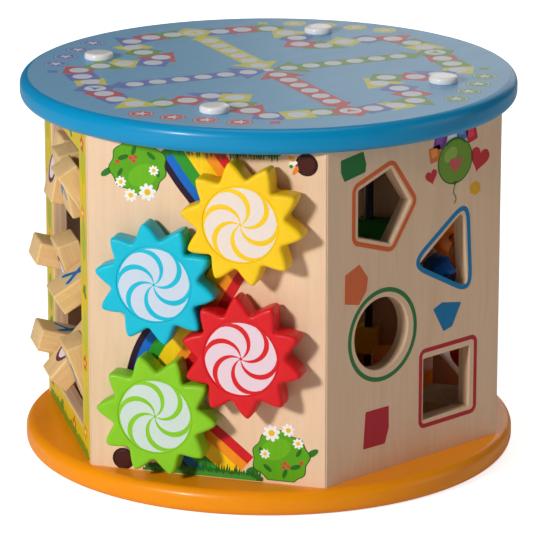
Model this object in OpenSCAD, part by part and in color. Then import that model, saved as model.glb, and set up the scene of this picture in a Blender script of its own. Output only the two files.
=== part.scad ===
// Six-sided wooden activity box with a shape sorter panel, a gear train,
// turning tiles, an abacus window, guided sliders and a clock dial,
// standing between two round discs.
// Origin: centre of the underside of the base disc. +Z up, millimetres.
// The sorter panel faces -Y.

/* [Discs] */
// Diameter of the base disc and of the lid disc
disc_d = 300; // [296:1:304]
// Thickness of each disc
disc_t = 15; // [14:0.5:16]
// Radius of the rounded rim edges
rim_r = 5.5; // [3:0.5:6]

/* [Hexagon body] */
// Distance from the centre to an outer corner of the hexagon
hex_r = 144.8; // [143:0.2:146]
// Height of the side panels
panel_h = 202; // [200:1:206]
// Thickness of the side panels
ply_t = 9; // [8.5:0.5:10]
// Width of the fine joint line at each mitre
mitre_gap = 0.1; // [0.04:0.02:0.2]

/* [Sorter holes] */
// Diameter of the round hole
circle_d = 43.8; // [42:0.2:45]
// Width of the square hole
square_w = 39; // [38:0.5:40]
// Height of the square hole
square_h = 38; // [38:0.5:40]
// Corner circle radius of the pentagon hole
pentagon_r = 23.3; // [23:0.1:24]
// Corner circle radius of the triangle hole before rounding
triangle_r = 27.5; // [27:0.1:28]
// Rounding radius of the triangle's corners
triangle_round = 2.5; // [2:0.1:3]
// Free play between each loose block and its hole, per side
block_play = 1.3; // [1:0.1:1.8]
// Length of each loose block
block_len = 36; // [32:1:37]

/* [Gears] */
// Tip radius of each gear
gear_tip_r = 37; // [36:0.2:37.2]
// Root radius of each gear
gear_root_r = 26.8; // [26:0.2:27.2]
// Thickness of each gear
gear_t = 14; // [13:0.5:15]
// Gap between the gear panel and the back of the gears
gear_gap = 4; // [3:0.5:5]
// Half the sideways distance between the two gear columns
gear_u = 26.2; // [26.2:0.1:27]
// Height step from one gear to the next
gear_step = 40; // [40:0.5:41]
// Angle of a tooth of the top gear
gear_phase = 29; // [0:1:35]
// Radius of the fixed pin that each gear turns on
gear_pin_r = 4; // [3.5:0.1:4.5]

/* [Turning tiles] */
// Half the width of the tile window
tile_win_u = 47; // [46:0.5:48]
// Height step between the tile rows
tile_step = 55; // [54:0.5:56]
// Sideways step between the tiles of a row
tile_pitch = 29.5; // [28.5:0.5:30]
// Width of a tile along its axle
tile_w = 27; // [26:0.5:28]
// Long side of a tile
tile_l = 40; // [36:1:41]
// Thickness of a tile
tile_t = 14; // [12.5:0.5:14]
// Radius of the tile axles
tile_axle_r = 3.25; // [3:0.05:3.5]

/* [Abacus] */
// Half the width of the abacus window
abacus_u = 45; // [44:0.5:46]
// Height step between the rods
rod_step = 30; // [29.5:0.5:30.5]
// Radius of the abacus rods
rod_r = 2.5; // [2.3:0.1:2.7]
// Largest radius of a bead
bead_r = 13.5; // [12.5:0.5:13.5]
// Length of a bead along its rod
bead_w = 20; // [18:0.5:20.5]

/* [Sliders] */
// Sideways position of the slider guide rods
slot_u = 34; // [32:0.5:35]
// Width of the slots
slot_w = 5.4; // [5.2:0.1:6]
// Radius of the round slider knobs
knob_r = 13; // [12:0.5:13.5]

/* [Clock] */
// Height of the centre of the clock dial above the base
clock_z = 118; // [110:1:124]
// Length of the hour hand from the pin to the tip
hour_len = 32; // [28:1:36]
// Length of the minute hand from the pin to the tip
minute_len = 46; // [40:1:50]

/* [Hidden] */
$fn = 96;
z0 = disc_t;                       // underside of the panels
z1 = disc_t + panel_h;             // underside of the lid
apo = hex_r * cos(30);             // centre to the outer face of a panel
mid_z = z0 + panel_h / 2;          // mid height of the panels
run = 0.05;                        // radial running clearance
snug = 0.02;                       // radial clearance of glued pins
glue = 0.02;                       // glue line between touching faces
A_SORTER = -90; A_ABACUS = -30; A_SLIDER = 30;
A_CLOCK = 90; A_TILE = 150; A_GEAR = -150;
n_mid = -ply_t / 2;                // middle of a panel's thickness
cleat_h = 22;
guide_r = 2.6;                      // slider guide rods
slot_off = 2.7;                     // slots sit this far beside their rods
stem_r = 2.4;                       // stems of the slider knobs
screw_pts = [[-60, 108.5], [30, 108.5], [120, 108.5], [-150, 108.5]];
gear_pos = [[gear_u, mid_z + 1.5 * gear_step - 0.6], [-gear_u, mid_z + 0.5 * gear_step - 0.6],
            [gear_u, mid_z - 0.5 * gear_step - 0.6], [-gear_u, mid_z - 1.5 * gear_step - 0.6]];
// Line of centres from one gear to the next, and the tooth angle that meshes
gear_beta = [for (i = [0:2]) atan2(gear_pos[i+1][1] - gear_pos[i][1], gear_pos[i+1][0] - gear_pos[i][0])];
phase_1 = 2 * gear_beta[0] + 198 - gear_phase;
phase_2 = 2 * gear_beta[1] + 198 - phase_1;
phase_3 = 2 * gear_beta[2] + 198 - phase_2;
gear_phases = [gear_phase, phase_1, phase_2, phase_3];
tile_rows = [mid_z + tile_step, mid_z, mid_z - tile_step];
tile_turn = [[102, 78, 57], [16, 73, -32], [16, -48, 70]];
bead_rest = [[-34, 27], [-12, 33], [-30, 20], [-22, 30], [-34, 24]];
slot_lo = z0 + 17; slot_hi = z1 - 21;
circle_c = [-27.6, 100]; square_c = [27.6, 57.4];
pentagon_c = [-28, 176]; triangle_c = [28.5, 136.6];

// ---------- helpers ----------
// Places children drawn as X = outward from the panel face, Y = right, Z = up
module on_panel(a) rotate([0, 0, a]) translate([apo, 0, 0]) children();
// Extrudes a flat shape drawn as (right, up) from depth n0 to depth n1
module plate(n0, n1) translate([n0, 0, 0]) rotate([90, 0, 90]) linear_extrude(n1 - n0) children();
// Round bar along the outward direction
module bar_n(n0, n1, u, z, r) translate([n0, u, z]) rotate([0, 90, 0]) cylinder(r = r, h = n1 - n0);
// Round bar along the sideways direction
module bar_u(u0, u1, n, z, r) translate([n, u0, z]) rotate([-90, 0, 0]) cylinder(r = r, h = u1 - u0);

// Regular polygon with rounded corners, first corner at angle a0
function rounded_ngon(n, R, r, a0, k = 6) = let (rc = R - r / sin(90 - 180 / n))
  [for (i = [0:n-1], j = [0:k]) let (v = a0 + i * 360 / n, t = v - 180 / n + j * 360 / n / k)
    [rc * cos(v) + r * cos(t), rc * sin(v) + r * sin(t)]];

// Gear outline: a softened triangle wave between the root and the tip radius
soft = 0.045;
function wave(p) = let (f = 1 - acos((1 - soft) * cos(10 * p)) / 180,
  hi = 1 - acos(1 - soft) / 180, lo = 1 - acos(soft - 1) / 180) pow((f - lo) / (hi - lo), 1.1);
function gear_pts(ph) = [for (i = [0:199]) let (t = i * 1.8,
  r = gear_root_r + (gear_tip_r - gear_root_r) * wave(t)) [r * cos(t + ph), r * sin(t + ph)]];

// Plain panel with mitred ends
module panel_blank(a) {
  s = hex_r / 2 - mitre_gap / 2;
  k = ply_t * tan(30);
  c = 0.4 * tan(30);
  on_panel(a) translate([0, 0, z0]) linear_extrude(panel_h)
    polygon([[0, -s + 0.6], [-0.4, -s + c], [-ply_t, -s + k], [-ply_t, s - k], [-0.4, s - c], [0, s - 0.6]]);
}

// Round disc with rounded rims
module disc_blank(zb) translate([0, 0, zb]) rotate_extrude($fn = 180)
  union() {
    square([disc_d / 2 - rim_r, disc_t]);
    translate([0, rim_r]) square([disc_d / 2, disc_t - 2 * rim_r]);
    translate([disc_d / 2 - rim_r, rim_r]) circle(r = rim_r, $fn = 48);
    translate([disc_d / 2 - rim_r, disc_t - rim_r]) circle(r = rim_r, $fn = 48);
  }

module at_screws() for (p = screw_pts) rotate([0, 0, p[0]]) translate([p[1], 0, 0]) children();
module slider_rod_holes(zb, h) on_panel(A_SLIDER) for (s = [-1, 1])
  translate([-ply_t - 7, s * slot_u, zb]) cylinder(r = guide_r + snug, h = h);

// ---------- discs ----------
module base_disc() color("orange") difference() {
  disc_blank(0);
  at_screws() { translate([0, 0, -1]) cylinder(r = 2.1, h = disc_t + 2);
    translate([0, 0, -0.01]) cylinder(r = 4.1, h = 3.01); }
  slider_rod_holes(disc_t - 6, 7);
}

module lid_disc() color("deepskyblue") difference() {
  disc_blank(z1);
  at_screws() { translate([0, 0, z1 - 1]) cylinder(r = 2.1, h = disc_t + 2);
    translate([0, 0, z1 + disc_t - 3]) cylinder(r = 4.1, h = 4); }
  slider_rod_holes(z1 - 1, 7);
}

// ---------- side panels ----------
module gear_panel() color("burlywood") difference() {
  panel_blank(A_GEAR);
  on_panel(A_GEAR) {
    for (p = gear_pos) bar_n(-ply_t - 1, 1, p[0], p[1], 3 + snug);
    for (p = [[60.3, 209], [-52.1, 21]]) bar_n(-6, 1, p[0], p[1], 5.5 + snug);
  }
}

module sorter_panel() color("burlywood") difference() {
  panel_blank(A_SORTER);
  on_panel(A_SORTER) {
    bar_n(-ply_t - 1, 1, circle_c[0], circle_c[1], circle_d / 2);
    plate(-ply_t - 1, 1) translate(square_c) square([square_w, square_h], center = true);
    plate(-ply_t - 1, 1) translate(pentagon_c) polygon(rounded_ngon(5, pentagon_r + 0.35, 1.2, 0));
    plate(-ply_t - 1, 1) translate(triangle_c) polygon(rounded_ngon(3, triangle_r, triangle_round, 185));
  }
}

abacus_z = [for (i = [-2:2]) mid_z + i * rod_step];
module abacus_panel() color("burlywood") difference() {
  panel_blank(A_ABACUS);
  on_panel(A_ABACUS) {
    plate(-ply_t - 1, 1) translate([-abacus_u, mid_z - 80.5]) square([2 * abacus_u, 161]);
    for (z = abacus_z) bar_u(-abacus_u - 9, abacus_u + 9, n_mid, z, rod_r + snug);
  }
}

module slot2d() union() {
  translate([-slot_w / 2, slot_lo]) square([slot_w, slot_hi - slot_lo]);
  translate([0, slot_lo]) circle(d = slot_w);
  translate([0, slot_hi]) circle(d = slot_w);
}
module slider_panel() color("burlywood") difference() {
  panel_blank(A_SLIDER);
  on_panel(A_SLIDER) for (s = [-1, 1]) translate([0, s * slot_u + slot_off, 0]) plate(-ply_t - 1, 1) slot2d();
}

module clock_panel() color("burlywood") difference() {
  panel_blank(A_CLOCK);
  on_panel(A_CLOCK) bar_n(-ply_t - 1, 1, 0, clock_z, 3 + snug);
}

module tile_panel() color("yellowgreen") difference() {
  panel_blank(A_TILE);
  on_panel(A_TILE) {
    plate(-ply_t - 1, 1) translate([-tile_win_u, mid_z - 85]) square([2 * tile_win_u, 170]);
    for (z = tile_rows) bar_u(-tile_win_u - 9, tile_win_u + 9, n_mid, z, tile_axle_r + snug);
  }
}

// ---------- glue blocks, screws and caps ----------
module corner_cleat() {
  c = (apo - ply_t - glue) / cos(30);
  linear_extrude(cleat_h) polygon([[98, -18], [98, 18], [c - 18 * tan(30), 18], [c, 0], [c - 18 * tan(30), -18]]);
}
module face_cleat() translate([100, -12, 0]) cube([apo - ply_t - glue - 100, 24, cleat_h]);
module cleats(zb, hole_z) difference() {
  translate([0, 0, zb]) {
    rotate([0, 0, -60]) corner_cleat();
    rotate([0, 0, 120]) corner_cleat();
    rotate([0, 0, 30]) face_cleat();
    rotate([0, 0, -150]) face_cleat();
  }
  translate([0, 0, hole_z]) at_screws() cylinder(r = 2 + snug, h = 19);
}
module lid_cleats() color("tan") cleats(z1 - cleat_h, z1 - 18);
module base_cleats() color("tan") cleats(z0, z0 - 1);

// Flat-headed screw, head top at 0, pointing down
module wood_screw() rotate_extrude($fn = 48)
  polygon([[0, 0], [4, 0], [4, -0.6], [2, -2.8], [2, -28], [0, -31]]);
module lid_screws() color("silver") at_screws() translate([0, 0, z1 + disc_t]) wood_screw();
module base_screws() color("silver") at_screws() mirror([0, 0, 1]) wood_screw();

module lid_caps() color("white") at_screws() translate([0, 0, z1 + disc_t + glue])
  rotate_extrude($fn = 72) union() {
    square([7.2, 4]);
    square([8.8, 2.4]);
    translate([7.2, 2.4]) circle(r = 1.6, $fn = 40);
  }

module panel_plugs() color([0.35, 0.07, 0.05]) on_panel(A_GEAR)
  for (p = [[60.3, 209], [-52.1, 21]]) bar_n(-5.8, 0.3, p[0], p[1], 5.5);

// ---------- gears ----------
module at_gear(i) on_panel(A_GEAR) translate([0, gear_pos[i][0], gear_pos[i][1]]) children();
g0 = gear_gap; g1 = gear_gap + gear_t;

module gear_body(i) at_gear(i) difference() {
  plate(g0, g1) polygon(gear_pts(gear_phases[i]));
  bar_n(g0 - 1, g1 + 1, 0, 0, gear_pin_r + run);
  bar_n(g1 - 3, g1 + 1, 0, 0, 8.4);
  bar_n(g1 - 1, g1 + 1, 0, 0, 22.8);
}
module gear_yellow() color("gold") gear_body(0);
module gear_cyan() color("deepskyblue") gear_body(1);
module gear_red() color("crimson") gear_body(2);
module gear_green() color("yellowgreen") gear_body(3);

module badge(i) at_gear(i) bar_n(g1 - 1, g1 - 0.3, 0, 0, 22.6);
module badge_yellow() color("gold") badge(0);
module badge_cyan() color("deepskyblue") badge(1);
module badge_red() color("crimson") badge(2);
module badge_green() color("yellowgreen") badge(3);

module gear_pins() color("silver") for (i = [0:3]) at_gear(i) {
  bar_n(-ply_t, 0.1, 0, 0, 3);
  bar_n(0, g1 - 2.7, 0, 0, gear_pin_r);
  bar_n(g1 - 2.9, g1 - 1.3, 0, 0, 8);
}
module gear_washers() color("ivory") for (i = [0:3]) at_gear(i) difference() {
  bar_n(0, gear_gap - 0.15, 0, 0, 9);
  bar_n(-1, gear_gap + 1, 0, 0, gear_pin_r + snug);
}

// ---------- turning tiles ----------
module tile_axles() color("wheat") on_panel(A_TILE)
  for (z = tile_rows) bar_u(-tile_win_u - 8.8, tile_win_u + 8.8, n_mid, z, tile_axle_r);
module tile(r, k) color("navajowhite") on_panel(A_TILE)
  translate([n_mid, (k - 1) * tile_pitch, tile_rows[r]]) rotate([0, -tile_turn[r][k], 0])
  difference() {
    cube([tile_l, tile_w, tile_t], center = true);
    bar_u(-tile_w, tile_w, 0, 0, tile_axle_r + run);
  }
module tile_top_left() tile(0, 0);
module tile_top_centre() tile(0, 1);
module tile_top_right() tile(0, 2);
module tile_middle_left() tile(1, 0);
module tile_middle_centre() tile(1, 1);
module tile_middle_right() tile(1, 2);
module tile_bottom_left() tile(2, 0);
module tile_bottom_centre() tile(2, 1);
module tile_bottom_right() tile(2, 2);

// ---------- abacus ----------
module abacus_rods() color("silver") on_panel(A_ABACUS)
  for (z = abacus_z) bar_u(-abacus_u - 8.8, abacus_u + 8.8, n_mid, z, rod_r);
// Rounded bead with a through bore
module bead(row, side) on_panel(A_ABACUS)
  translate([n_mid, bead_rest[row][side], abacus_z[row]]) rotate([-90, 0, 0])
  difference() {
    intersection() {
      cylinder(r = bead_r, h = bead_w, center = true);
      sphere(r = bead_r + 0.9, $fn = 72);
    }
    cylinder(r = rod_r + run, h = bead_w + 2, center = true);
  }
module bead_red_left() color("red") bead(0, 0);
module bead_red_right() color("red") bead(0, 1);
module bead_blue_left() color("royalblue") bead(1, 0);
module bead_blue_right() color("royalblue") bead(1, 1);
module bead_orange_left() color("orange") bead(2, 0);
module bead_orange_right() color("orange") bead(2, 1);
module bead_green_left() color("green") bead(3, 0);
module bead_green_right() color("green") bead(3, 1);
module bead_yellow_left() color("gold") bead(4, 0);
module bead_yellow_right() color("gold") bead(4, 1);

// ---------- sliders ----------
module slider_rods() color("navy") on_panel(A_SLIDER) for (s = [-1, 1])
  translate([-ply_t - 7, s * slot_u, z0 - 5.8]) cylinder(r = guide_r, h = panel_h + 11.6);
// Round knob outside the panel with a stem through the slot
module knob(u, z) on_panel(A_SLIDER) {
  bar_n(-ply_t - 3, 1.2, u + slot_off, z, stem_r);
  translate([0, u + slot_off, z]) rotate([0, 90, 0]) rotate_extrude($fn = 72) union() {
    translate([0, 1]) square([knob_r - 4, 12]);
    translate([0, 5]) square([knob_r, 4]);
    translate([knob_r - 4, 5]) circle(r = 4, $fn = 40);
    translate([knob_r - 4, 9]) circle(r = 4, $fn = 40);
  }
}
// Block behind the panel that runs on the guide rod
module runner(u, z, low) on_panel(A_SLIDER) difference() {
  translate([-ply_t - 13, u + low, z - 9]) cube([12, 27, 18]);
  bar_n(-ply_t - 3.1, 0, u + slot_off, z, stem_r + snug);
  translate([-ply_t - 7, u, z - 20]) cylinder(r = guide_r + run, h = 40);
}
module knob_yellow() color("gold") knob(-slot_u, z0 + 17);
module runner_yellow() color("gold") runner(-slot_u, z0 + 17, -7.4);
module knob_green() color("green") knob(-slot_u, z0 + 89);
module runner_green() color("green") runner(-slot_u, z0 + 89, -19.6);
module knob_red() color("red") knob(slot_u, z0 + 135);
module runner_red() color("red") runner(slot_u, z0 + 135, -7.4);

// ---------- clock ----------
module clock_pin() color("silver") on_panel(A_CLOCK) {
  bar_n(-ply_t, 8.2, 0, clock_z, 3);
  translate([8, 0, clock_z]) rotate([0, 90, 0]) rotate_extrude($fn = 60) union() {
    square([5.5, 3]); translate([5.5, 1.5]) circle(r = 1.5, $fn = 40);
  }
}
module hand(len, w, n0, n1, turn) on_panel(A_CLOCK) translate([0, 0, clock_z]) rotate([turn, 0, 0])
  difference() {
    plate(n0, n1) union() {
      circle(r = 8);
      polygon([[-w / 2, 0], [-w / 2, len - 11], [-w, len - 11], [0, len], [w, len - 11], [w / 2, len - 11], [w / 2, 0]]);
    }
    bar_n(n0 - 1, n1 + 1, 0, 0, 3 + run);
  }
module hour_hand() color("crimson") hand(hour_len, 7, 0.8, 3.8, 60);
module minute_hand() color("royalblue") hand(minute_len, 6, 4.2, 7.2, -60);

// ---------- loose sorting blocks, on the floor inside ----------
module block_cylinder() color("green") translate([-44, -30, z0])
  cylinder(r = circle_d / 2 - block_play - 0.3, h = block_len);
module block_cube() color("crimson") translate([-38, 44, z0]) rotate([0, 0, 20])
  translate([-18, -18, 0]) cube([square_h - 2 * block_play + 0.6, square_h - 2 * block_play + 0.6, block_len]);
module block_pentagon() color("darkorange") translate([64, -50, z0]) rotate([0, 0, 24])
  linear_extrude(block_len) polygon(rounded_ngon(5, pentagon_r - block_play - 1, 1.2, 0));
module block_triangle() color("royalblue") translate([18, 52, z0]) rotate([0, 0, 75])
  linear_extrude(block_len) polygon(rounded_ngon(3, triangle_r - 2 * block_play, triangle_round, 0));

base_disc();
lid_disc();
gear_panel();
sorter_panel();
abacus_panel();
slider_panel();
clock_panel();
tile_panel();
lid_cleats();
base_cleats();
lid_screws();
lid_caps();
base_screws();
panel_plugs();
gear_pins();
gear_washers();
gear_yellow();
gear_cyan();
gear_red();
gear_green();
badge_yellow();
badge_cyan();
badge_red();
badge_green();
tile_axles();
tile_top_left();
tile_top_centre();
tile_top_right();
tile_middle_left();
tile_middle_centre();
tile_middle_right();
tile_bottom_left();
tile_bottom_centre();
tile_bottom_right();
abacus_rods();
bead_red_left();
bead_red_right();
bead_blue_left();
bead_blue_right();
bead_orange_left();
bead_orange_right();
bead_green_left();
bead_green_right();
bead_yellow_left();
bead_yellow_right();
slider_rods();
knob_yellow();
runner_yellow();
knob_green();
runner_green();
knob_red();
runner_red();
clock_pin();
hour_hand();
minute_hand();
block_cylinder();
block_cube();
block_pentagon();
block_triangle();
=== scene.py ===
"""Looks for the six-sided wooden activity box: printed plywood panels, painted
discs, satin gears, turning tiles, beads, sliders, clock and loose blocks.
Metres, same frame as the CAD: origin at the centre of the underside, +Z up,
the sorter panel faces -Y. Lengths inside the helpers are millimetres."""

import math
import random

import bpy
import bmesh
from mathutils import Matrix, Vector
from mathutils.geometry import tessellate_polygon


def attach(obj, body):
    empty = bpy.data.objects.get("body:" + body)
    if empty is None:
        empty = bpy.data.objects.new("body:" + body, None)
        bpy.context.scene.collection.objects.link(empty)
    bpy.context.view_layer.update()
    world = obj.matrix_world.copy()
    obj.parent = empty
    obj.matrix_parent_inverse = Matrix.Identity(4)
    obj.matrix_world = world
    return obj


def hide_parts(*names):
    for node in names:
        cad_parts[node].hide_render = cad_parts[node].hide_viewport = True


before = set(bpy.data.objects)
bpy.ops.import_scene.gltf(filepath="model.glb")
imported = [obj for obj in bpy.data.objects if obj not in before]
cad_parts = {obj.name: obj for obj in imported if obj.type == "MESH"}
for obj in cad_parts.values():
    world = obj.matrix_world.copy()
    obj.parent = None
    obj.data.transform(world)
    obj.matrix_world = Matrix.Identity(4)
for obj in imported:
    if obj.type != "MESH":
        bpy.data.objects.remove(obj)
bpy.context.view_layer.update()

# ------------------------------------------------------------------ sizes
HEX = 144.8
APO = HEX * math.cos(math.radians(30))
PLY = 9.0
Z0, Z1 = 15.0, 217.0
MID = 116.0
TOP = 232.0
SORTER, ABACUS, SLIDER, CLOCK, TILE, GEAR = -90, -30, 30, 90, 150, -150
GEAR_POS = [(26.2, MID + 59.4), (-26.2, MID + 19.4), (26.2, MID - 20.6), (-26.2, MID - 60.6)]
GEAR_COL = ["yellow", "cyan", "red", "green"]
GEAR_PH = [29.0]
for _i in range(3):
    _b = math.degrees(math.atan2(GEAR_POS[_i + 1][1] - GEAR_POS[_i][1], GEAR_POS[_i + 1][0] - GEAR_POS[_i][0]))
    GEAR_PH.append(2 * _b + 198 - GEAR_PH[-1])
G0, G1 = 4.0, 18.0
TILE_ROWS = [MID + 55, MID, MID - 55]
TILE_TURN = [[102, 78, 57], [16, 73, -32], [16, -48, 70]]
BEAD_REST = [[-34, 27], [-12, 33], [-30, 20], [-22, 30], [-34, 24]]
CIRCLE_C, SQUARE_C, PENT_C, TRI_C = (-27.6, 100.0), (27.6, 57.4), (-28.0, 176.0), (28.5, 136.6)
SCREWS = [-60, 30, 120, -150]


def cs(a):
    a = math.radians(a)
    return math.cos(a), math.sin(a)


def panel_xf(a):
    """(outward n, right u, height z) in mm on the panel at angle a -> metres."""
    c, s = cs(a)
    return lambda n, u, z: (((APO + n) * c - u * s) * .001, ((APO + n) * s + u * c) * .001, z * .001)


def disc_xf(n, u, z):
    """(height n, x, y) in mm -> metres, for flat work on the lid and base."""
    return (u * .001, z * .001, n * .001)


def local_xf(m):
    """(n, u, z) through a 4x4 matrix whose columns are in mm."""
    return lambda n, u, z: tuple((m @ Vector((n, u, z))) * .001)


def panel_matrix(a, n=0, u=0, z=0):
    """Local X outward, Y right, Z up, at (n, u, z) on the panel; in mm."""
    c, s = cs(a)
    o = Vector(((APO + n) * c - u * s, (APO + n) * s + u * c, z))
    return Matrix(((c, -s, 0, o.x), (s, c, 0, o.y), (0, 0, 1, o.z), (0, 0, 0, 1)))


# ------------------------------------------------------------------ material helpers
def srgb(r, g, b):
    def f(v):
        v = v / 255.0
        return v / 12.92 if v <= .04045 else ((v + .055) / 1.055) ** 2.4
    return (f(r), f(g), f(b), 1.0)


def tint(c, k):
    return (min(1, c[0] * k), min(1, c[1] * k), min(1, c[2] * k), 1.0)


class Tree:
    """Short forms for building a node material."""

    def __init__(self, name):
        self.mat = bpy.data.materials.new(name)
        self.mat.use_nodes = True
        self.t = self.mat.node_tree
        self.t.nodes.clear()
        self._co = None

    def put(self, sock, v):
        if isinstance(v, bpy.types.NodeSocket):
            self.t.links.new(v, sock)
        elif v is not None:
            sock.default_value = v

    def node(self, kind, props=None, **ins):
        n = self.t.nodes.new("ShaderNode" + kind)
        for k, v in (props or {}).items():
            setattr(n, k, v)
        for k, v in ins.items():
            self.put(n.inputs[k.replace("_", " ")], v)
        return n

    def math(self, op, a, b=0.0, c=None, clamp=False):
        n = self.t.nodes.new("ShaderNodeMath")
        n.operation = op
        n.use_clamp = clamp
        self.put(n.inputs[0], a)
        self.put(n.inputs[1], b)
        if c is not None:
            self.put(n.inputs[2], c)
        return n.outputs[0]

    def mix(self, f, a, b, blend="MIX"):
        n = self.t.nodes.new("ShaderNodeMix")
        n.data_type = "RGBA"
        n.blend_type = blend
        self.put(n.inputs[0], f)
        self.put(n.inputs[6], a)
        self.put(n.inputs[7], b)
        return n.outputs[2]

    def ramp(self, f, lo, hi, a=0.0, b=1.0):
        n = self.t.nodes.new("ShaderNodeMapRange")
        n.clamp = True
        self.put(n.inputs[0], f)
        for i, v in enumerate((lo, hi, a, b)):
            self.put(n.inputs[i + 1], v)
        return n.outputs[0]

    @property
    def co(self):
        if self._co is None:
            self._co = self.node("TexCoord").outputs["Object"]
        return self._co

    def dot(self, v, axis):
        n = self.t.nodes.new("ShaderNodeVectorMath")
        n.operation = "DOT_PRODUCT"
        self.put(n.inputs[0], v)
        n.inputs[1].default_value = tuple(axis)
        return n.outputs["Value"]

    def axes(self, e1, e2, e3, offset=0.0):
        """A vector of the object position along three scaled axes."""
        n = self.t.nodes.new("ShaderNodeCombineXYZ")
        for i, e in enumerate((e1, e2, e3)):
            v = self.dot(self.co, e)
            if offset:
                v = self.math("ADD", v, offset * (i + 1))
            self.put(n.inputs[i], v)
        return n.outputs[0]

    def noise(self, vec, scale=1.0, detail=3.0, rough=.55, dist=0.0):
        n = self.node("TexNoise", Scale=scale, Detail=detail, Roughness=rough, Distortion=dist)
        self.put(n.inputs["Vector"], vec)
        return n.outputs[0]

    def bump(self, h, strength=.3, dist=.0005, normal=None):
        n = self.node("Bump", Strength=strength, Distance=dist)
        self.put(n.inputs["Height"], h)
        if normal is not None:
            self.put(n.inputs["Normal"], normal)
        return n.outputs[0]

    def finish(self, color, rough, normal=None, metallic=0.0, coat=0.0, coat_rough=.1, spec=.5, sss=0.0, sheen=0.0):
        p = self.node("BsdfPrincipled")
        self.put(p.inputs["Base Color"], color)
        self.put(p.inputs["Roughness"], rough)
        self.put(p.inputs["Metallic"], metallic)
        self.put(p.inputs["Specular IOR Level"], spec * .5)
        self.put(p.inputs["Coat Weight"], coat * .6)
        self.put(p.inputs["Coat Roughness"], coat_rough)
        self.put(p.inputs["Sheen Weight"], sheen)
        if normal is not None:
            self.put(p.inputs["Normal"], normal)
        o = self.node("OutputMaterial")
        self.t.links.new(p.outputs[0], o.inputs[0])
        return self.mat


def scaled(e, k):
    return (e[0] * k, e[1] * k, e[2] * k)


def wood_field(t, along, across, third, seed=0.0, f_across=420.0, f_along=14.0):
    """(fine streaks, broad figure, pores), each about 0..1, for lumber with its grain along `along`."""
    warp = t.noise(t.axes(scaled(along, 6), scaled(across, 22), scaled(third, 22), seed), 1.0, 2.0, .5)
    v = t.axes(scaled(along, f_along), scaled(across, f_across), scaled(third, f_across), seed)
    add = t.t.nodes.new("ShaderNodeVectorMath")
    add.operation = "ADD"
    t.put(add.inputs[0], v)
    w = t.t.nodes.new("ShaderNodeCombineXYZ")
    t.put(w.inputs[0], t.math("MULTIPLY", warp, .6))
    t.put(w.inputs[1], t.math("MULTIPLY", warp, 7.0))
    t.put(w.inputs[2], t.math("MULTIPLY", warp, 7.0))
    t.put(add.inputs[1], w.outputs[0])
    streak = t.noise(add.outputs[0], 1.0, 4.0, .62)
    broad = t.noise(t.axes(scaled(along, 5), scaled(across, 38), scaled(third, 38), seed + 3), 1.0, 3.0, .5, 1.2)
    pore = t.noise(t.axes(scaled(along, 90), scaled(across, 1500), scaled(third, 1500), seed + 7), 1.0, 2.0, .6)
    return streak, broad, t.ramp(pore, .64, .74)


def wood(name, base, along, across, third, seed=0.0, k=1.0, rough=.55, coat=0.0, f_across=420.0, dark=.78):
    """Bare or lacquered wood. k scales how strong the figure is."""
    t = Tree(name)
    streak, broad, pore = wood_field(t, along, across, third, seed, f_across)
    deep = (base[0] * dark, base[1] * dark * .93, base[2] * dark * .82, 1)
    pale = (min(1, base[0] * 1.06), min(1, base[1] * 1.07), min(1, base[2] * 1.09), 1)
    c = t.mix(t.math("MULTIPLY", t.ramp(streak, .35, .75), .62 * k, clamp=True), pale, deep)
    c = t.mix(t.math("MULTIPLY", t.ramp(broad, .4, .7), .38 * k, clamp=True), c, (deep[0] * .97, deep[1] * .95, deep[2] * .9, 1))
    c = t.mix(t.math("MULTIPLY", pore, .35 * k, clamp=True), c, (deep[0] * .55, deep[1] * .5, deep[2] * .45, 1))
    h = t.math("ADD", t.math("MULTIPLY", streak, .7), t.math("MULTIPLY", pore, -.5))
    r = t.math("ADD", t.math("MULTIPLY", streak, .18), rough - .09)
    return t.finish(c, r, t.bump(h, .25, .00025), coat=coat, coat_rough=.25, spec=.4)


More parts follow.
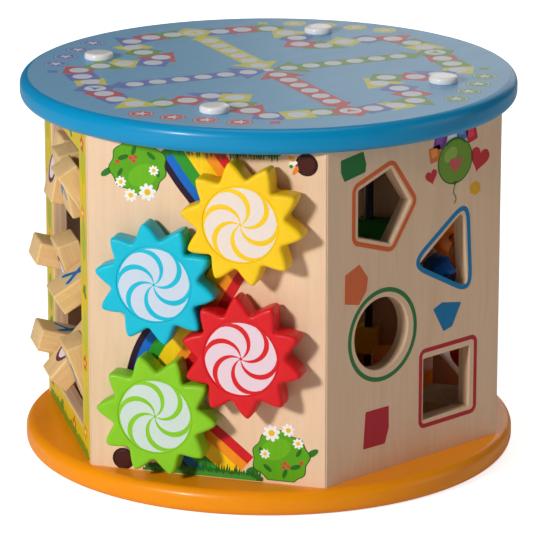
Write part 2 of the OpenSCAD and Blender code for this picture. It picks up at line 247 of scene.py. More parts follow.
def plywood(name, a, face, seed=0.0, rough=.5):
    """Lacquered birch ply: veneer on the broad faces, glued layers on every cut edge."""
    t = Tree(name)
    c_, s_ = cs(a)
    N, U, Z = (c_, s_, 0), (-s_, c_, 0), (0, 0, 1)
    streak, broad, pore = wood_field(t, Z, U, N, seed, 330.0, 10.0)
    deep = (face[0] * .84, face[1] * .79, face[2] * .70, 1)
    pale = (min(1, face[0] * 1.05), min(1, face[1] * 1.06), min(1, face[2] * 1.08), 1)
    c = t.mix(t.math("MULTIPLY", t.ramp(streak, .35, .75), .30, clamp=True), pale, deep)
    c = t.mix(t.math("MULTIPLY", t.ramp(broad, .42, .72), .30, clamp=True), c, deep)
    c = t.mix(t.math("MULTIPLY", pore, .18, clamp=True), c, tint(deep, .6))
    # glued layers, seen on faces that look sideways
    depth = t.math("SUBTRACT", t.dot(t.co, N), APO * .001)
    layer = t.math("MULTIPLY", depth, -1 / .0018)
    wav = t.noise(t.axes(scaled(N, 900), scaled(U, 60), scaled(Z, 60), seed + 11), 1.0, 2.0, .5)
    layer = t.math("ADD", layer, t.math("MULTIPLY", t.math("SUBTRACT", wav, .5), .22))
    frac = t.math("FRACT", layer)
    odd = t.math("FRACT", t.math("MULTIPLY", t.math("FLOOR", layer), .5))
    edge = t.mix(t.ramp(odd, .2, .3), (face[0] * .90, face[1] * .90, face[2] * .88, 1), (face[0] * .82, face[1] * .78, face[2] * .70, 1))
    line = t.math("MULTIPLY", t.ramp(t.math("ABSOLUTE", t.math("SUBTRACT", frac, .5)), .44, .5), .32)
    edge = t.mix(line, edge, (face[0] * .42, face[1] * .33, face[2] * .24, 1))
    fib = t.noise(t.axes(scaled(N, 1600), scaled(U, 260), scaled(Z, 260), seed + 17), 1.0, 3.0, .6)
    edge = t.mix(t.ramp(fib, .45, .75, 0, .22), edge, (face[0] * .66, face[1] * .58, face[2] * .48, 1))
    geo = t.node("NewGeometry")
    facing = t.math("ABSOLUTE", t.dot(geo.outputs["Normal"], N))
    is_face = t.ramp(facing, .82, .9)
    col = t.mix(is_face, edge, c)
    h = t.math("ADD", t.math("MULTIPLY", streak, .6), t.math("MULTIPLY", fib, .35))
    r = t.math("ADD", t.math("MULTIPLY", streak, .15), rough - .07)
    return t.finish(col, r, t.bump(h, .2, .0002), coat=.12, coat_rough=.35, spec=.4)


def ink(name, col, a=None, rough=.45, seed=0.0, k=1.0, coat=.1, painted_sheen=0.0):
    """Printed colour on veneer: the grain shows through a little and the edges of the tone vary."""
    t = Tree(name)
    if a is None:
        al, ac, th = (1, 0, 0), (0, 1, 0), (0, 0, 1)
    else:
        c_, s_ = cs(a)
        al, ac, th = (0, 0, 1), (-s_, c_, 0), (c_, s_, 0)
    v = t.axes(scaled(al, 12), scaled(ac, 380), scaled(th, 380), seed)
    streak = t.noise(v, 1.0, 3.0, .6)
    blot = t.noise(t.axes(scaled(al, 60), scaled(ac, 60), scaled(th, 60), seed + 2), 1.0, 2.0, .5)
    c = t.mix(t.math("MULTIPLY", t.ramp(streak, .4, .75), .30 * k, clamp=True), col, tint(col, .74))
    c = t.mix(t.math("MULTIPLY", t.ramp(blot, .4, .8), .22 * k, clamp=True), c, tint(col, 1.18))
    if painted_sheen:
        # painted sheen: the colour turns pale grey where the film is seen at a low angle, standing in for its
        # reflection
        lw = t.node("LayerWeight", Blend=.5)
        c = t.mix(t.ramp(lw.outputs["Facing"], .4, .85, 0, painted_sheen), c, (.80, .82, .86, 1))
    r = t.math("ADD", t.math("MULTIPLY", streak, .14), rough - .07)
    return t.finish(c, r, t.bump(streak, .12, .00012), coat=coat, coat_rough=.3, spec=.4)


def gloss(name, col, rough=.26, seed=0.0, coat=.5, grain=.05, along=(0, 0, 1), across=(1, 0, 0), third=(0, 1, 0), mottled=.10, dust=.5):
    """Gloss paint on wood: slight orange peel, faint grain telegraphing, tiny scuffs."""
    t = Tree(name)
    peel = t.noise(t.axes(scaled(along, 260), scaled(across, 260), scaled(third, 260), seed), 1.0, 2.0, .5)
    tele = t.noise(t.axes(scaled(along, 14), scaled(across, 300), scaled(third, 300), seed + 5), 1.0, 3.0, .6)
    blot = t.noise(t.axes(scaled(along, 22), scaled(across, 22), scaled(third, 22), seed + 9), 1.0, 3.0, .5)
    scuff = t.ramp(t.noise(t.axes(scaled(along, 700), scaled(across, 160), scaled(third, 300), seed + 13), 1.0, 3.0, .7), .70, .80)
    c = t.mix(t.math("MULTIPLY", t.ramp(blot, .3, .75), mottled * 2, clamp=True), tint(col, 1.05), tint(col, .86))
    c = t.mix(t.math("MULTIPLY", t.ramp(tele, .45, .8), grain * 2, clamp=True), c, tint(col, .78))
    r = t.math("ADD", t.math("MULTIPLY", blot, .10), t.math("ADD", rough - .05, t.math("MULTIPLY", scuff, .18 * dust)))
    h = t.math("ADD", t.math("MULTIPLY", peel, .5), t.math("MULTIPLY", tele, .5))
    return t.finish(c, r, t.bump(h, .10, .00022), coat=coat, coat_rough=.12, spec=.5)


def satin(name, col, seed=0.0, rough=.42):
    """Sprayed satin lacquer: fine tooth and a blotchy tone."""
    t = Tree(name)
    fine = t.noise(t.co, 900.0, 3.0, .6)
    soft = t.noise(t.co, 70.0, 3.0, .5)
    c = t.mix(t.ramp(soft, .35, .7, 0, .35), tint(col, 1.06), tint(col, .88))
    c = t.mix(t.ramp(fine, .62, .8, 0, .25), c, tint(col, .72))
    r = t.math("ADD", t.math("MULTIPLY", soft, .12), t.math("ADD", rough - .08, t.math("MULTIPLY", fine, .08)))
    h = t.math("ADD", t.math("MULTIPLY", fine, .5), t.math("MULTIPLY", soft, .5))
    return t.finish(c, r, t.bump(h, .16, .00022), coat=.18, coat_rough=.3, spec=.5)


def steel(name, col=(.62, .63, .65, 1), rough=.3, along=(1, 0, 0), across=(0, 1, 0)):
    t = Tree(name)
    br = t.noise(t.axes(scaled(along, 20), scaled(across, 2200), (0, 0, 2200)), 1.0, 2.0, .5)
    spot = t.noise(t.co, 160.0, 3.0, .5)
    c = t.mix(t.ramp(spot, .4, .7, 0, .5), col, tint(col, .8))
    r = t.math("ADD", t.math("MULTIPLY", br, .14), rough - .06)
    return t.finish(c, r, t.bump(br, .04, .00005), metallic=1.0)


X, Y, Zv = (1, 0, 0), (0, 1, 0), (0, 0, 1)
M = {}
PLYCOL = srgb(237, 203, 170)
for key, a in (("gear", GEAR), ("sorter", SORTER), ("abacus", ABACUS), ("slider", SLIDER), ("clock", CLOCK), ("tile", TILE)):
    M["ply_" + key] = plywood("ply_" + key, a, PLYCOL, seed=1.7 * (a + 200) / 60)
M["base"] = gloss("paint_orange", srgb(250, 152, 4), seed=2, rough=.36, coat=.16, along=X, across=Y, third=Zv)
M["lid"] = gloss("paint_blue", srgb(0, 142, 196), seed=4, rough=.34, coat=.16, along=X, across=Y, third=Zv)
# the board sheet's colour turns pale grey at low angles: a painted sheen
M["board"] = ink("board_blue", srgb(92, 166, 210), None, .42, 5, coat=.25, painted_sheen=.16)
M["cap"] = gloss("cap_white", srgb(236, 236, 238), seed=6, rough=.3, grain=0, mottled=.04)
M["plug"] = satin("plug_brown", srgb(66, 8, 2), 8, .6)
M["pine"] = wood("pine", srgb(222, 190, 142), Zv, X, Y, 3.1, 1.0, .65, f_across=220.0)
M["washer"] = satin("washer_nylon", srgb(226, 222, 208), 9, .5)
M["steel"] = steel("steel")
M["rod_steel"] = steel("rod_steel", (.70, .71, .73, 1), .25, (.5, .8660254, 0), (-.8660254, .5, 0))
M["navy"] = gloss("rod_navy", srgb(12, 20, 56), seed=12, rough=.3, grain=0)
M["inside"] = wood("bare_wood", srgb(214, 184, 142), Zv, X, Y, 5.3, .9, .7)
GC = {"yellow": srgb(253, 204, 14), "cyan": srgb(0, 190, 218), "red": srgb(220, 20, 30), "green": srgb(136, 204, 30)}
for i, c in enumerate(GEAR_COL):
    M["gear_" + c] = satin("gear_" + c, GC[c], 20 + i)
for i, (c, v) in enumerate({"yellow": (240, 226, 216), "cyan": (206, 220, 238), "red": (238, 212, 224), "green": (210, 228, 220)}.items()):
    M["swirl_" + c] = ink("swirl_" + c, srgb(*v), None, .42, 31 + i, .35)
PAINT = {"red": srgb(206, 22, 26), "blue": srgb(14, 100, 186), "orange": srgb(243, 128, 14),
         "green": srgb(24, 128, 44), "yellow": srgb(244, 206, 16)}
for i, (c, v) in enumerate(PAINT.items()):
    M["paint_" + c] = gloss("gloss_" + c, v, seed=40 + i, rough=.24)
M["dowel"] = wood("dowel", srgb(232, 204, 160), (-math.sin(math.radians(150)), math.cos(math.radians(150)), 0),
                  (math.cos(math.radians(150)), math.sin(math.radians(150)), 0), Zv, 2.2, .8, .55)

_inks = {}


def I(key, rgb, a, rough=.45, k=1.0):
    """A shared print colour for one panel."""
    name = f"ink_{key}_{str(a).replace('-', 'm')}"
    if name not in _inks:
        _inks[name] = ink(name, srgb(*rgb), a, rough, 50 + len(_inks) * .7, k)
    return _inks[name]


# ------------------------------------------------------------------ mesh helpers
def build(name, verts, faces, mats, body, face_mats=None, slot=None, angle=32, replaces=()):
    me = bpy.data.meshes.new(name)
    me.from_pydata(verts, [], faces)
    for m in mats:
        me.materials.append(m)
    if face_mats:
        me.polygons.foreach_set("material_index", face_mats)
    bm = bmesh.new()
    bm.from_mesh(me)
    bmesh.ops.recalc_face_normals(bm, faces=bm.faces)
    bm.to_mesh(me)
    bm.free()
    me.polygons.foreach_set("use_smooth", [True] * len(me.polygons))
    me.set_sharp_from_angle(angle=math.radians(angle))
    me.update()
    ob = bpy.data.objects.new(name, me)
    bpy.context.scene.collection.objects.link(ob)
    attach(ob, body)
    if replaces:
        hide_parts(*replaces)
    return ob


class Acc:
    """Collects closed pieces into one mesh."""

    def __init__(self):
        self.v, self.f, self.m, self.mats = [], [], [], []

    def mat(self, m):
        if m not in self.mats:
            self.mats.append(m)
        return self.mats.index(m)

    def add(self, verts, faces, mat):
        o = len(self.v)
        k = self.mat(mat)
        self.v += verts
        self.f += [tuple(i + o for i in f) for f in faces]
        self.m += [k] * len(faces)

    def build(self, name, body, **kw):
        return build(name, self.v, self.f, self.mats, body, face_mats=self.m, **kw)


def area(p):
    return .5 * sum(p[i][0] * p[(i + 1) % len(p)][1] - p[(i + 1) % len(p)][0] * p[i][1] for i in range(len(p)))


def ccw(p):
    return list(p) if area(p) > 0 else list(reversed(p))


def inset(pts, d, relax=True):
    """A closed CCW outline moved inward by d (outward when d is negative), same number of points."""
    if abs(d) < 1e-9:
        return list(pts)
    n = len(pts)
    out = []
    for i in range(n):
        ax, ay = pts[i - 1]
        bx, by = pts[i]
        cx, cy = pts[(i + 1) % n]
        e1 = Vector((bx - ax, by - ay))
        e2 = Vector((cx - bx, cy - by))
        if e1.length < 1e-9:
            e1 = e2
        if e2.length < 1e-9:
            e2 = e1
        e1 = e1.normalized()
        e2 = e2.normalized()
        n1, n2 = Vector((-e1.y, e1.x)), Vector((-e2.y, e2.x))
        m = n1 + n2
        if m.length < 1e-6:
            m = n1
        m.normalize()
        k = 1.0 / max(.45, m.dot(n1))
        out.append((bx + m.x * d * k, by + m.y * d * k))
    if relax and d > 0:
        for _ in range(12):
            bad = False
            for i in range(n):
                j = (i + 1) % n
                ox, oy = pts[j][0] - pts[i][0], pts[j][1] - pts[i][1]
                nx, ny = out[j][0] - out[i][0], out[j][1] - out[i][1]
                if ox * nx + oy * ny < 0:
                    mx, my = (out[i][0] + out[j][0]) / 2, (out[i][1] + out[j][1]) / 2
                    out[i] = out[j] = (mx, my)
                    bad = True
            if not bad:
                break
    return out


def edge_levels(base, n0, n1, r0, r1, steps=4, hole=False):
    """Levels [(outline, n)] from n0 to n1 with a quarter round of radius r0 at the low end and r1 at the high end.
    For a hole the outline opens at its ends instead of closing."""
    sg = -1.0 if hole else 1.0
    lv = []

    def ring(d, n):
        lv.append((inset(base, sg * d, not hole), n))
    if r0 > 0:
        ring(r0 + .25, n0)
        for i in range(steps + 1):
            a = math.pi / 2 * i / steps
            ring(r0 * (1 - math.sin(a)), n0 + r0 * (1 - math.cos(a)))
    else:
        ring(0, n0)
    if r1 > 0:
        for i in range(steps + 1):
            a = math.pi / 2 * i / steps
            ring(r1 * (1 - math.cos(a)), n1 - r1 * (1 - math.sin(a)))
        ring(r1 + .25, n1)
    else:
        ring(0, n1)
    return lv


def stack(xf, loops):
    """(verts, faces) of a closed solid: each loop is [(outline, n), ...] from the low cap to the high cap.
    The first loop is the outside, the others are holes."""
    verts, faces = [], []
    cap = {0: [], 1: []}
    for lv in loops:
        rings = []
        for pts, n in lv:
            o = len(verts)
            verts += [xf(n, u, z) for u, z in pts]
            rings.append(list(range(o, o + len(pts))))
        for a, b in zip(rings, rings[1:]):
            k = len(a)
            for i in range(k):
                j = (i + 1) % k
                faces.append((a[i], a[j], b[j], b[i]))
        cap[0].append((rings[0], lv[0][0]))
        cap[1].append((rings[-1], lv[-1][0]))
    for side in (0, 1):
        idx = [i for r, _ in cap[side] for i in r]
        tri = tessellate_polygon([[Vector((p[0], p[1], 0)) for p in pts] for _, pts in cap[side]])
        for t in tri:
            faces.append(tuple(idx[i] for i in t))
    return verts, faces


def prism(xf, outline, n0, n1, r0=0.0, r1=0.0, holes=(), steps=4, hole_r=0.0):
    loops = [edge_levels(ccw(outline), n0, n1, r0, r1, steps)]
    for h in holes:
        loops.append(edge_levels(ccw(h), n0, n1, hole_r, hole_r, 3, hole=True))
    return stack(xf, loops)


def circ(cx, cy, r, k=64, a0=0.0):
    return [(cx + r * math.cos(a0 + 2 * math.pi * i / k), cy + r * math.sin(a0 + 2 * math.pi * i / k)) for i in range(k)]


def rrect(cx, cy, w, h, r, k=6, rot=0.0):
    out = []
    for sx, sy, a in ((1, 1, 0), (-1, 1, 90), (-1, -1, 180), (1, -1, 270)):
        for i in range(k + 1):
            t = math.radians(a + 90 * i / k)
            out.append((sx * (w / 2 - r) + r * math.cos(t), sy * (h / 2 - r) + r * math.sin(t)))
    c, s = cs(rot)
    return [(cx + x * c - y * s, cy + x * s + y * c) for x, y in out]


def dense(pts, step=2.0):
    """The same closed outline with long edges split, so that caps and shading stay even."""
    out = []
    for i, p in enumerate(pts):
        q = pts[(i + 1) % len(pts)]
        d = math.hypot(q[0] - p[0], q[1] - p[1])
        k = max(1, int(d / step))
        out += [(p[0] + (q[0] - p[0]) * j / k, p[1] + (q[1] - p[1]) * j / k) for j in range(k)]
    return out


def ngon(cx, cy, n, R, r, a0, k=6):
    rc = R - r / math.sin(math.radians(90 - 180 / n))
    out = []
    for i in range(n):
        v = a0 + i * 360 / n
        for j in range(k + 1):
            t = math.radians(v - 180 / n + j * 360 / n / k)
            out.append((cx + rc * math.cos(math.radians(v)) + r * math.cos(t), cy + rc * math.sin(math.radians(v)) + r * math.sin(t)))
    return out


def round_poly(pts, r, k=5):
    """A polygon with each corner rounded to about radius r."""
    pts = ccw(pts)
    out = []
    n = len(pts)
    for i in range(n):
        p, a, b = Vector(pts[i]), Vector(pts[i - 1]), Vector(pts[(i + 1) % n])
        d1, d2 = (a - p).normalized(), (b - p).normalized()
        ang = math.acos(max(-1, min(1, d1.dot(d2))))
        t = min(r / math.tan(ang / 2), (a - p).length * .45, (b - p).length * .45)
        s, e = p + d1 * t, p + d2 * t
        for j in range(k + 1):
            w = j / k
            q = (s * (1 - w) ** 2) + (p * 2 * w * (1 - w)) + (e * w ** 2)
            out.append((q.x, q.y))
    return out


def lathe(xf, prof, segs=64, closed=True):
    """Turns (radius, n) points round the local n axis; the profile is a closed loop, or starts and ends on the axis."""
    verts, faces, rings = [], [], []
    for r, n in prof:
        if r < 1e-6:
            rings.append([len(verts)])
            verts.append(xf(n, 0, 0))
        else:
            o = len(verts)
            verts += [xf(n, r * math.cos(2 * math.pi * i / segs), r * math.sin(2 * math.pi * i / segs)) for i in range(segs)]
            rings.append(list(range(o, o + segs)))
    pairs = list(zip(rings, rings[1:])) + ([(rings[-1], rings[0])] if closed else [])
    for a, b in pairs:
        if len(a) == 1 and len(b) == 1:
            continue
        for i in range(segs):
            j = (i + 1) % segs
            if len(a) == 1:
                faces.append((a[0], b[j], b[i]))
            elif len(b) == 1:
                faces.append((a[i], a[j], b[0]))
            else:
                faces.append((a[i], a[j], b[j], b[i]))
    return verts, faces


def arc(cr, cn, r, a0, a1, k=6):
    return [(cr + r * math.cos(math.radians(a0 + (a1 - a0) * i / k)), cn + r * math.sin(math.radians(a0 + (a1 - a0) * i / k))) for i in range(k + 1)]


class Print:
    """Thin closed inlays on one panel, in layers of rising height, one mesh per panel and body."""

    def __init__(self, a):
        self.a = a
        self.xf = panel_xf(a)
        self.acc = Acc()

    def col(self, rgb, key=None):
        return I(key or "%02x%02x%02x" % tuple(rgb), rgb, self.a)

    def shape(self, outline, rgb, layer=0, holes=()):
        self.acc.add(*prism(self.xf, outline, -.08, .05 + .035 * layer, holes=holes), self.col(rgb))

    def ring(self, outline, w, rgb, layer=0):
        self.shape(outline, rgb, layer, holes=[inset(ccw(outline), w)])

    def strip(self, line, w0, w1, rgb, layer=0):
        """A band between two offsets to the left of an open line."""
        n = len(line)
        left, right = [], []
        for i in range(n):
            p, q = line[max(0, i - 1)], line[min(n - 1, i + 1)]
            d = Vector((q[0] - p[0], q[1] - p[1])).normalized()
            nx, ny = -d.y, d.x
            left.append((line[i][0] + nx * w1, line[i][1] + ny * w1))
            right.append((line[i][0] + nx * w0, line[i][1] + ny * w0))
        # built as quads side by side, so that tight bends stay closed
        n0, n1 = -.08, .05 + .035 * layer
        v = []
        for l, r in zip(left, right):
            v += [self.xf(n0, *l), self.xf(n0, *r), self.xf(n1, *l), self.xf(n1, *r)]
        f = []
        for i in range(n - 1):
            a, b = i * 4, i * 4 + 4
            f += [(a, b, b + 1, a + 1), (a + 2, a + 3, b + 3, b + 2), (a, a + 2, b + 2, b), (a + 1, b + 1, b + 3, a + 3)]
        f += [(0, 1, 3, 2), (4 * n - 4, 4 * n - 2, 4 * n - 1, 4 * n - 3)]
        self.acc.add(v, f, self.col(rgb))

    def line(self, pts, w, rgb, layer=0):
        self.strip(pts, -w / 2, w / 2, rgb, layer)

    def flower(self, cx, cz, r, petal, mid, layer=2, n=5, a0=90, leaf=None):
        for i in range(n):
            a = math.radians(a0 + 360 * i / n)
            self.shape(ellipse(cx + r * .58 * math.cos(a), cz + r * .58 * math.sin(a), r * .46, r * .30, math.degrees(a)), petal, layer + i % 2)
        self.shape(circ(cx, cz, r * .30, 20), mid, layer + 3)

    def done(self, name, body="root"):
        return self.acc.build(name, body, angle=20)


def ellipse(cx, cy, rx, ry, rot=0.0, k=32):
    c, s = cs(rot)
    return [(cx + rx * math.cos(t) * c - ry * math.sin(t) * s, cy + rx * math.cos(t) * s + ry * math.sin(t) * c)
            for t in (2 * math.pi * i / k for i in range(k))]


def heart(cx, cy, s, rot=0.0, k=40):
    c, si = cs(rot)
    out = []
    for i in range(k):
        t = 2 * math.pi * i / k
        x = 16 * math.sin(t) ** 3
        y = 13 * math.cos(t) - 5 * math.cos(2 * t) - 2 * math.cos(3 * t) - math.cos(4 * t)
        x, y = x * s / 16, y * s / 16
        out.append((cx + x * c - y * si, cy + x * si + y * c))
    return out


def star(cx, cy, r, rot=90, n=5, inner=.42):
    return [(cx + (r if i % 2 == 0 else r * inner) * math.cos(math.radians(rot + 180 * i / n)),
             cy + (r if i % 2 == 0 else r * inner) * math.sin(math.radians(rot + 180 * i / n))) for i in range(2 * n)]


def spline(pts, k=14):
    """Smooth open curve through the points."""
    out = []
    n = len(pts)
    for i in range(n - 1):
        p0, p1, p2, p3 = (Vector(pts[max(0, i - 1)]), Vector(pts[i]), Vector(pts[i + 1]), Vector(pts[min(n - 1, i + 2)]))
        for j in range(k):
            t = j / k
            q = .5 * ((2 * p1) + (p2 - p0) * t + (2 * p0 - 5 * p1 + 4 * p2 - p3) * t * t + (3 * p1 - p0 - 3 * p2 + p3) * t ** 3)
            out.append((q.x, q.y))
    out.append(tuple(pts[-1]))
    return out


def grass(u0, u1, z, h, rng, up=1, step=1.5):
    """A strip with a ragged blade edge."""
    top = []
    u = u0
    while u < u1:
        e = min(1.0, (u - u0) / 5 + .25, (u1 - u) / 5 + .25)
        hh = h * (.55 + .45 * rng.random()) * e
        lean = rng.uniform(-.7, .7)
        top += [(u, z + up * h * .42 * e), (u + step * .5 + lean, z + up * hh), (u + step, z + up * h * .42 * e)]
        u += step + .05
    pts = [(u0, z)] + top + [(u1, z)]
    return pts if up > 0 else list(reversed(pts))


# ------------------------------------------------------------------ discs
def disc(name, zb, mat, body_nodes, counter_top):
    base = circ(0, 0, 150.0, 240)
    loops = [edge_levels(base, zb, zb + 15, 5.5, 5.5, 8)]
    for a in SCREWS:
        c, s = cs(a)
        cx, cy = 108.5 * c, 108.5 * s
        if counter_top:
            prof = [(2.1, zb), (2.1, zb + 12), (4.1, zb + 12), (4.1, zb + 15)]
        else:
            prof = [(4.1, zb), (4.1, zb + 3), (2.1, zb + 3), (2.1, zb + 15)]
        loops.append([(circ(cx, cy, r, 32), n) for r, n in prof])
    v, f = stack(disc_xf, loops)
    return build(name, v, f, [mat], "root", replaces=body_nodes, angle=40)


o = disc("base_disc_look", 0, M["base"], ["base_disc"], False)
o = disc("lid_disc_look", Z1, M["lid"], ["lid_disc"], True)

# printed game board on the lid, in the lid's own plane, 60 degrees round from the drawing axes
BA = -60.0


def board_pt(x, y):
    c, s = cs(BA)
    return (x * c - y * s, x * s + y * c)


class Board:
    def __init__(self):
        self.acc = Acc()

    def shape(self, outline, mat, layer=0, holes=()):
        o_ = [board_pt(*p) for p in outline]
        h_ = [[board_pt(*p) for p in h] for h in holes]
        self.acc.add(*prism(disc_xf, o_, TOP - .1, TOP + .04 + .03 * layer, holes=h_), mat)


# the board inks also turn pale grey at low angles: a painted sheen
BI = {k: ink("board_" + k, srgb(*v), None, .44, 70 + i, .6, coat=.25, painted_sheen=.15) for i, (k, v) in enumerate({
    "red": (198, 50, 58), "yellow": (216, 210, 52), "green": (98, 152, 44), "blue": (80, 106, 190),
    "white": (216, 222, 232), "pale": (176, 204, 226), "dark": (40, 62, 120)}.items())}
bd = Board()
holes = []
# the board sheet, with clear holes round the four caps
bd.shape(circ(0, 0, 145.2, 180), M["board"], 0, holes=[circ(108.5 * math.cos(math.radians(q)), 108.5 * math.sin(math.radians(q)), 4.6, 32) for q in (0, 90, 180, -90)])


def polar(r, a):
    return (r * math.cos(math.radians(a)), r * math.sin(math.radians(a)))


LANE = {-48.5: "red", 41.5: "green", 131.5: "yellow", 221.5: "blue"}
LOOP = [(112.8, 0), (114, 7.2), (115.7, 14.9), (115.4, 22.9), (104, 29.1), (90.5, 33.7), (74.1, 38), (73, 49.7),
        (89.6, 53.9), (102.4, 59.3), (114.3, 65.4), (112.8, 73.8), (110.5, 81.4)]
SEQ = ["red", "blue", "yellow", "green"]
for li, (la, lc) in enumerate(LANE.items()):
    d = polar(1, la)
    n_ = (-d[1], d[0])

    def lp(r, w):
        return (d[0] * r + n_[0] * w, d[1] * r + n_[1] * w)
    bd.shape([lp(20, -7.2), lp(98, -7.2), lp(98, 7.2), lp(20, 7.2)], BI[lc], 1)
    bd.shape([lp(93, -10.5), lp(104, 0), lp(93, 10.5)], BI[lc], 1.5)
    bd.shape([lp(1.2, 0), lp(21, -15.5), lp(21, 15.5)], BI[lc], 2)
    for k in range(6):
        bd.shape(circ(*lp(13.5 + 14.8 * k, 0), 5.4, 28), BI["white"], 3)
    # thirteen steps of the loop that belong to this quarter
    for k, (r, da) in enumerate(LOOP):
        x, y = polar(r, la + da)
        colour = SEQ[(k + li) % 4] if k else lc
        ang = la + da
        if k == 0:
            bd.shape(rrect(x, y, 20, 20, 1.0, 3, la + 45), BI[colour], 2.5)
            bd.shape(circ(x, y, 6.6, 32), BI["white"], 3)
            bd.shape(star(x, y, 4.4, la + 180, 3, .35), BI[colour], 4)
        elif k in (3, 6, 9):
            a3 = {3: la + 20, 6: la + 190, 9: la + 100}[k]
            bd.shape([(x + 16.4 * math.cos(math.radians(a3 + q)), y + 16.4 * math.sin(math.radians(a3 + q))) for q in (0, 120, 240)], BI[colour], .85 + k % 2)
            bd.shape(circ(x, y, 6.0, 28), BI["white"], 3)
        else:
            bd.shape(rrect(x, y, 18.4, 18.4, .6, 2, ang + (8 if k % 2 else -6)), BI[colour], .7 + k % 2)
            bd.shape(circ(x, y, 6.0, 28), BI["white"], 3)
    # home places
    home = [(-38.6, -126), (-18.6, -128.5), (1.4, -129.5), (21.4, -128.5)]
    rot = {"red": 0, "green": 90, "yellow": 180, "blue": 270}[lc]
    c_, s_ = cs(rot)
    for hx, hy in home:
        x, y = hx * c_ - hy * s_, hx * s_ + hy * c_
        bd.shape(circ(x, y, 7.6, 32), BI[lc], 1)
        bd.shape(circ(x, y, 6.7, 32), BI["pale"], 2)
        bd.shape(circ(x, y, 5.9, 32), BI[lc], 3)
        bd.shape(star(x, y, 4.9, rot + 90, 5, .4), BI["white"], 4)
    x, y = 41 * c_ + 123.5 * s_, 41 * s_ - 123.5 * c_
    bd.shape(star(x, y, 5.2, rot + 60, 4, .45), BI[lc], 1)
bd.shape(circ(0, 0, 3.2, 24), BI["white"], 4)
o = bd.acc.build("lid_board_print", "root", angle=20)

# caps
acc = Acc()
for a in SCREWS:
    c, s = cs(a)
    m = Matrix.Translation((108.5 * c, 108.5 * s, TOP + .02)) @ Matrix(((0, 1, 0, 0), (0, 0, 1, 0), (1, 0, 0, 0), (0, 0, 0, 1)))
    prof = [(0, 0), (8.3, 0), (8.7, .35), (8.8, 1.0)] + arc(7.0, 2.2, 1.8, 0, 80, 6) + [(5.0, 4.0), (2.2, 4.0), (0, 4.0)]
    acc.add(*lathe(local_xf(m), prof, 56, closed=False), M["cap"])
acc.build("lid_caps_look", "root", replaces=["lid_caps"], slot="cap_white", angle=50)

# ------------------------------------------------------------------ panels
S0 = HEX / 2 - .05
K0 = PLY * math.tan(math.radians(30))


def panel(name, a, mat, node, holes, hole_r=.5, extra=None):
    """Mitred panel; each hole is a list of (u, z) points, rounded over slightly at both faces."""
    def rect(s):
        return dense([(-s, Z0), (s, Z0), (s, Z1), (-s, Z1)], 12.0)
    n = max(len(rect(S0)), 4)
    zs = [(-1, 0), (1, 0), (1, 1), (-1, 1)]

    def ring(s, nn):
        k = 16
        pts = []
        for i in range(4):
            (x0, y0), (x1, y1) = zs[i], zs[(i + 1) % 4]
            for j in range(k):
                w = j / k
                pts.append(((x0 + (x1 - x0) * w) * s, Z0 + (y0 + (y1 - y0) * w) * (Z1 - Z0)))
        return (pts, nn)
    outer = [ring(S0 - K0, -PLY), ring(S0 - .23, -.4), ring(S0 - .36, -.16), ring(S0 - .6, 0), ring(S0 - 1.0, 0)]
    loops = [outer]
    for h in holes:
        loops.append(edge_levels(ccw(dense(h, 4.0)), -PLY, 0, hole_r, hole_r, 3, hole=True))
    v, f = stack(panel_xf(a), loops)
    return build(name, v, f, [mat], "root", replaces=[node], angle=35)


tri_hole = ngon(*TRI_C, 3, 27.5, 2.5, 185, 8)
pent_hole = ngon(*PENT_C, 5, 23.65, 1.2, 0, 5)
sq_hole = rrect(*SQUARE_C, 39, 38, .6, 3)
o = panel("sorter_panel_look", SORTER, M["ply_sorter"], "sorter_panel", [circ(*CIRCLE_C, 21.9, 96), sq_hole, pent_hole, tri_hole], .7)
o = panel("gear_panel_look", GEAR, M["ply_gear"], "gear_panel", [circ(p[0], p[1], 3.02, 24) for p in GEAR_POS], .2)


SLOT_OFF, SLOT_R = 2.7, 2.7


def slot2(u, r=SLOT_R):
    lo, hi = Z0 + 17, Z1 - 21
    u += SLOT_OFF
    return [(u + r * math.cos(math.radians(180 + q)), lo + r * math.sin(math.radians(180 + q))) for q in range(0, 181, 12)] + \
           [(u + r * math.cos(math.radians(q)), hi + r * math.sin(math.radians(q))) for q in range(0, 181, 12)]


o = panel("slider_panel_look", SLIDER, M["ply_slider"], "slider_panel", [slot2(-34), slot2(34)], .6)
o = panel("abacus_panel_look", ABACUS, M["ply_abacus"], "abacus_panel", [rrect(0, MID, 90, 161, 1.0, 3)], .8)
o = panel("clock_panel_look", CLOCK, M["ply_clock"], "clock_panel", [circ(0, 118, 3.02, 24)], .2)
o = panel("tile_panel_look", TILE, M["ply_tile"], "tile_panel", [rrect(0, MID, 94, 170, 1.0, 3)], .8)

# hidden wood inside
for node, mat in (("lid_cleats", "pine"), ("base_cleats", "pine"), ("lid_screws", "steel"), ("base_screws", "steel"),
                  ("gear_pins", "steel"), ("gear_washers", "washer"), ("tile_axles", "dowel"), ("abacus_rods", "rod_steel"),
                  ("slider_rods", "navy")):
    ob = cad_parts[node]
    ob.data.materials.clear()
    ob.data.materials.append(M[mat])
    ob.data.polygons.foreach_set("material_index", [0] * len(ob.data.polygons))

# panel plugs, very slightly domed and set in the face
acc = Acc()
for u, z in ((60.3, 209), (-52.1, 21)):
    m = panel_matrix(GEAR, 0, u, z)
    acc.add(*lathe(local_xf(m), [(0, -5.8), (5.5, -5.8), (5.5, .05), (5.2, .28), (4.6, .3), (2.4, .3), (0, .3)], 48, closed=False), M["plug"])
acc.build("panel_plugs_look", "root", replaces=["panel_plugs"], slot="plug_brown", angle=50)


# ------------------------------------------------------------------ gears
def wave(p):
    f = 1 - math.degrees(math.acos((1 - .045) * math.cos(math.radians(10 * p)))) / 180
    hi = 1 - math.degrees(math.acos(1 - .045)) / 180
    lo = 1 - math.degrees(math.acos(.045 - 1)) / 180
    return ((f - lo) / (hi - lo)) ** 1.1 if f > lo else 0.0


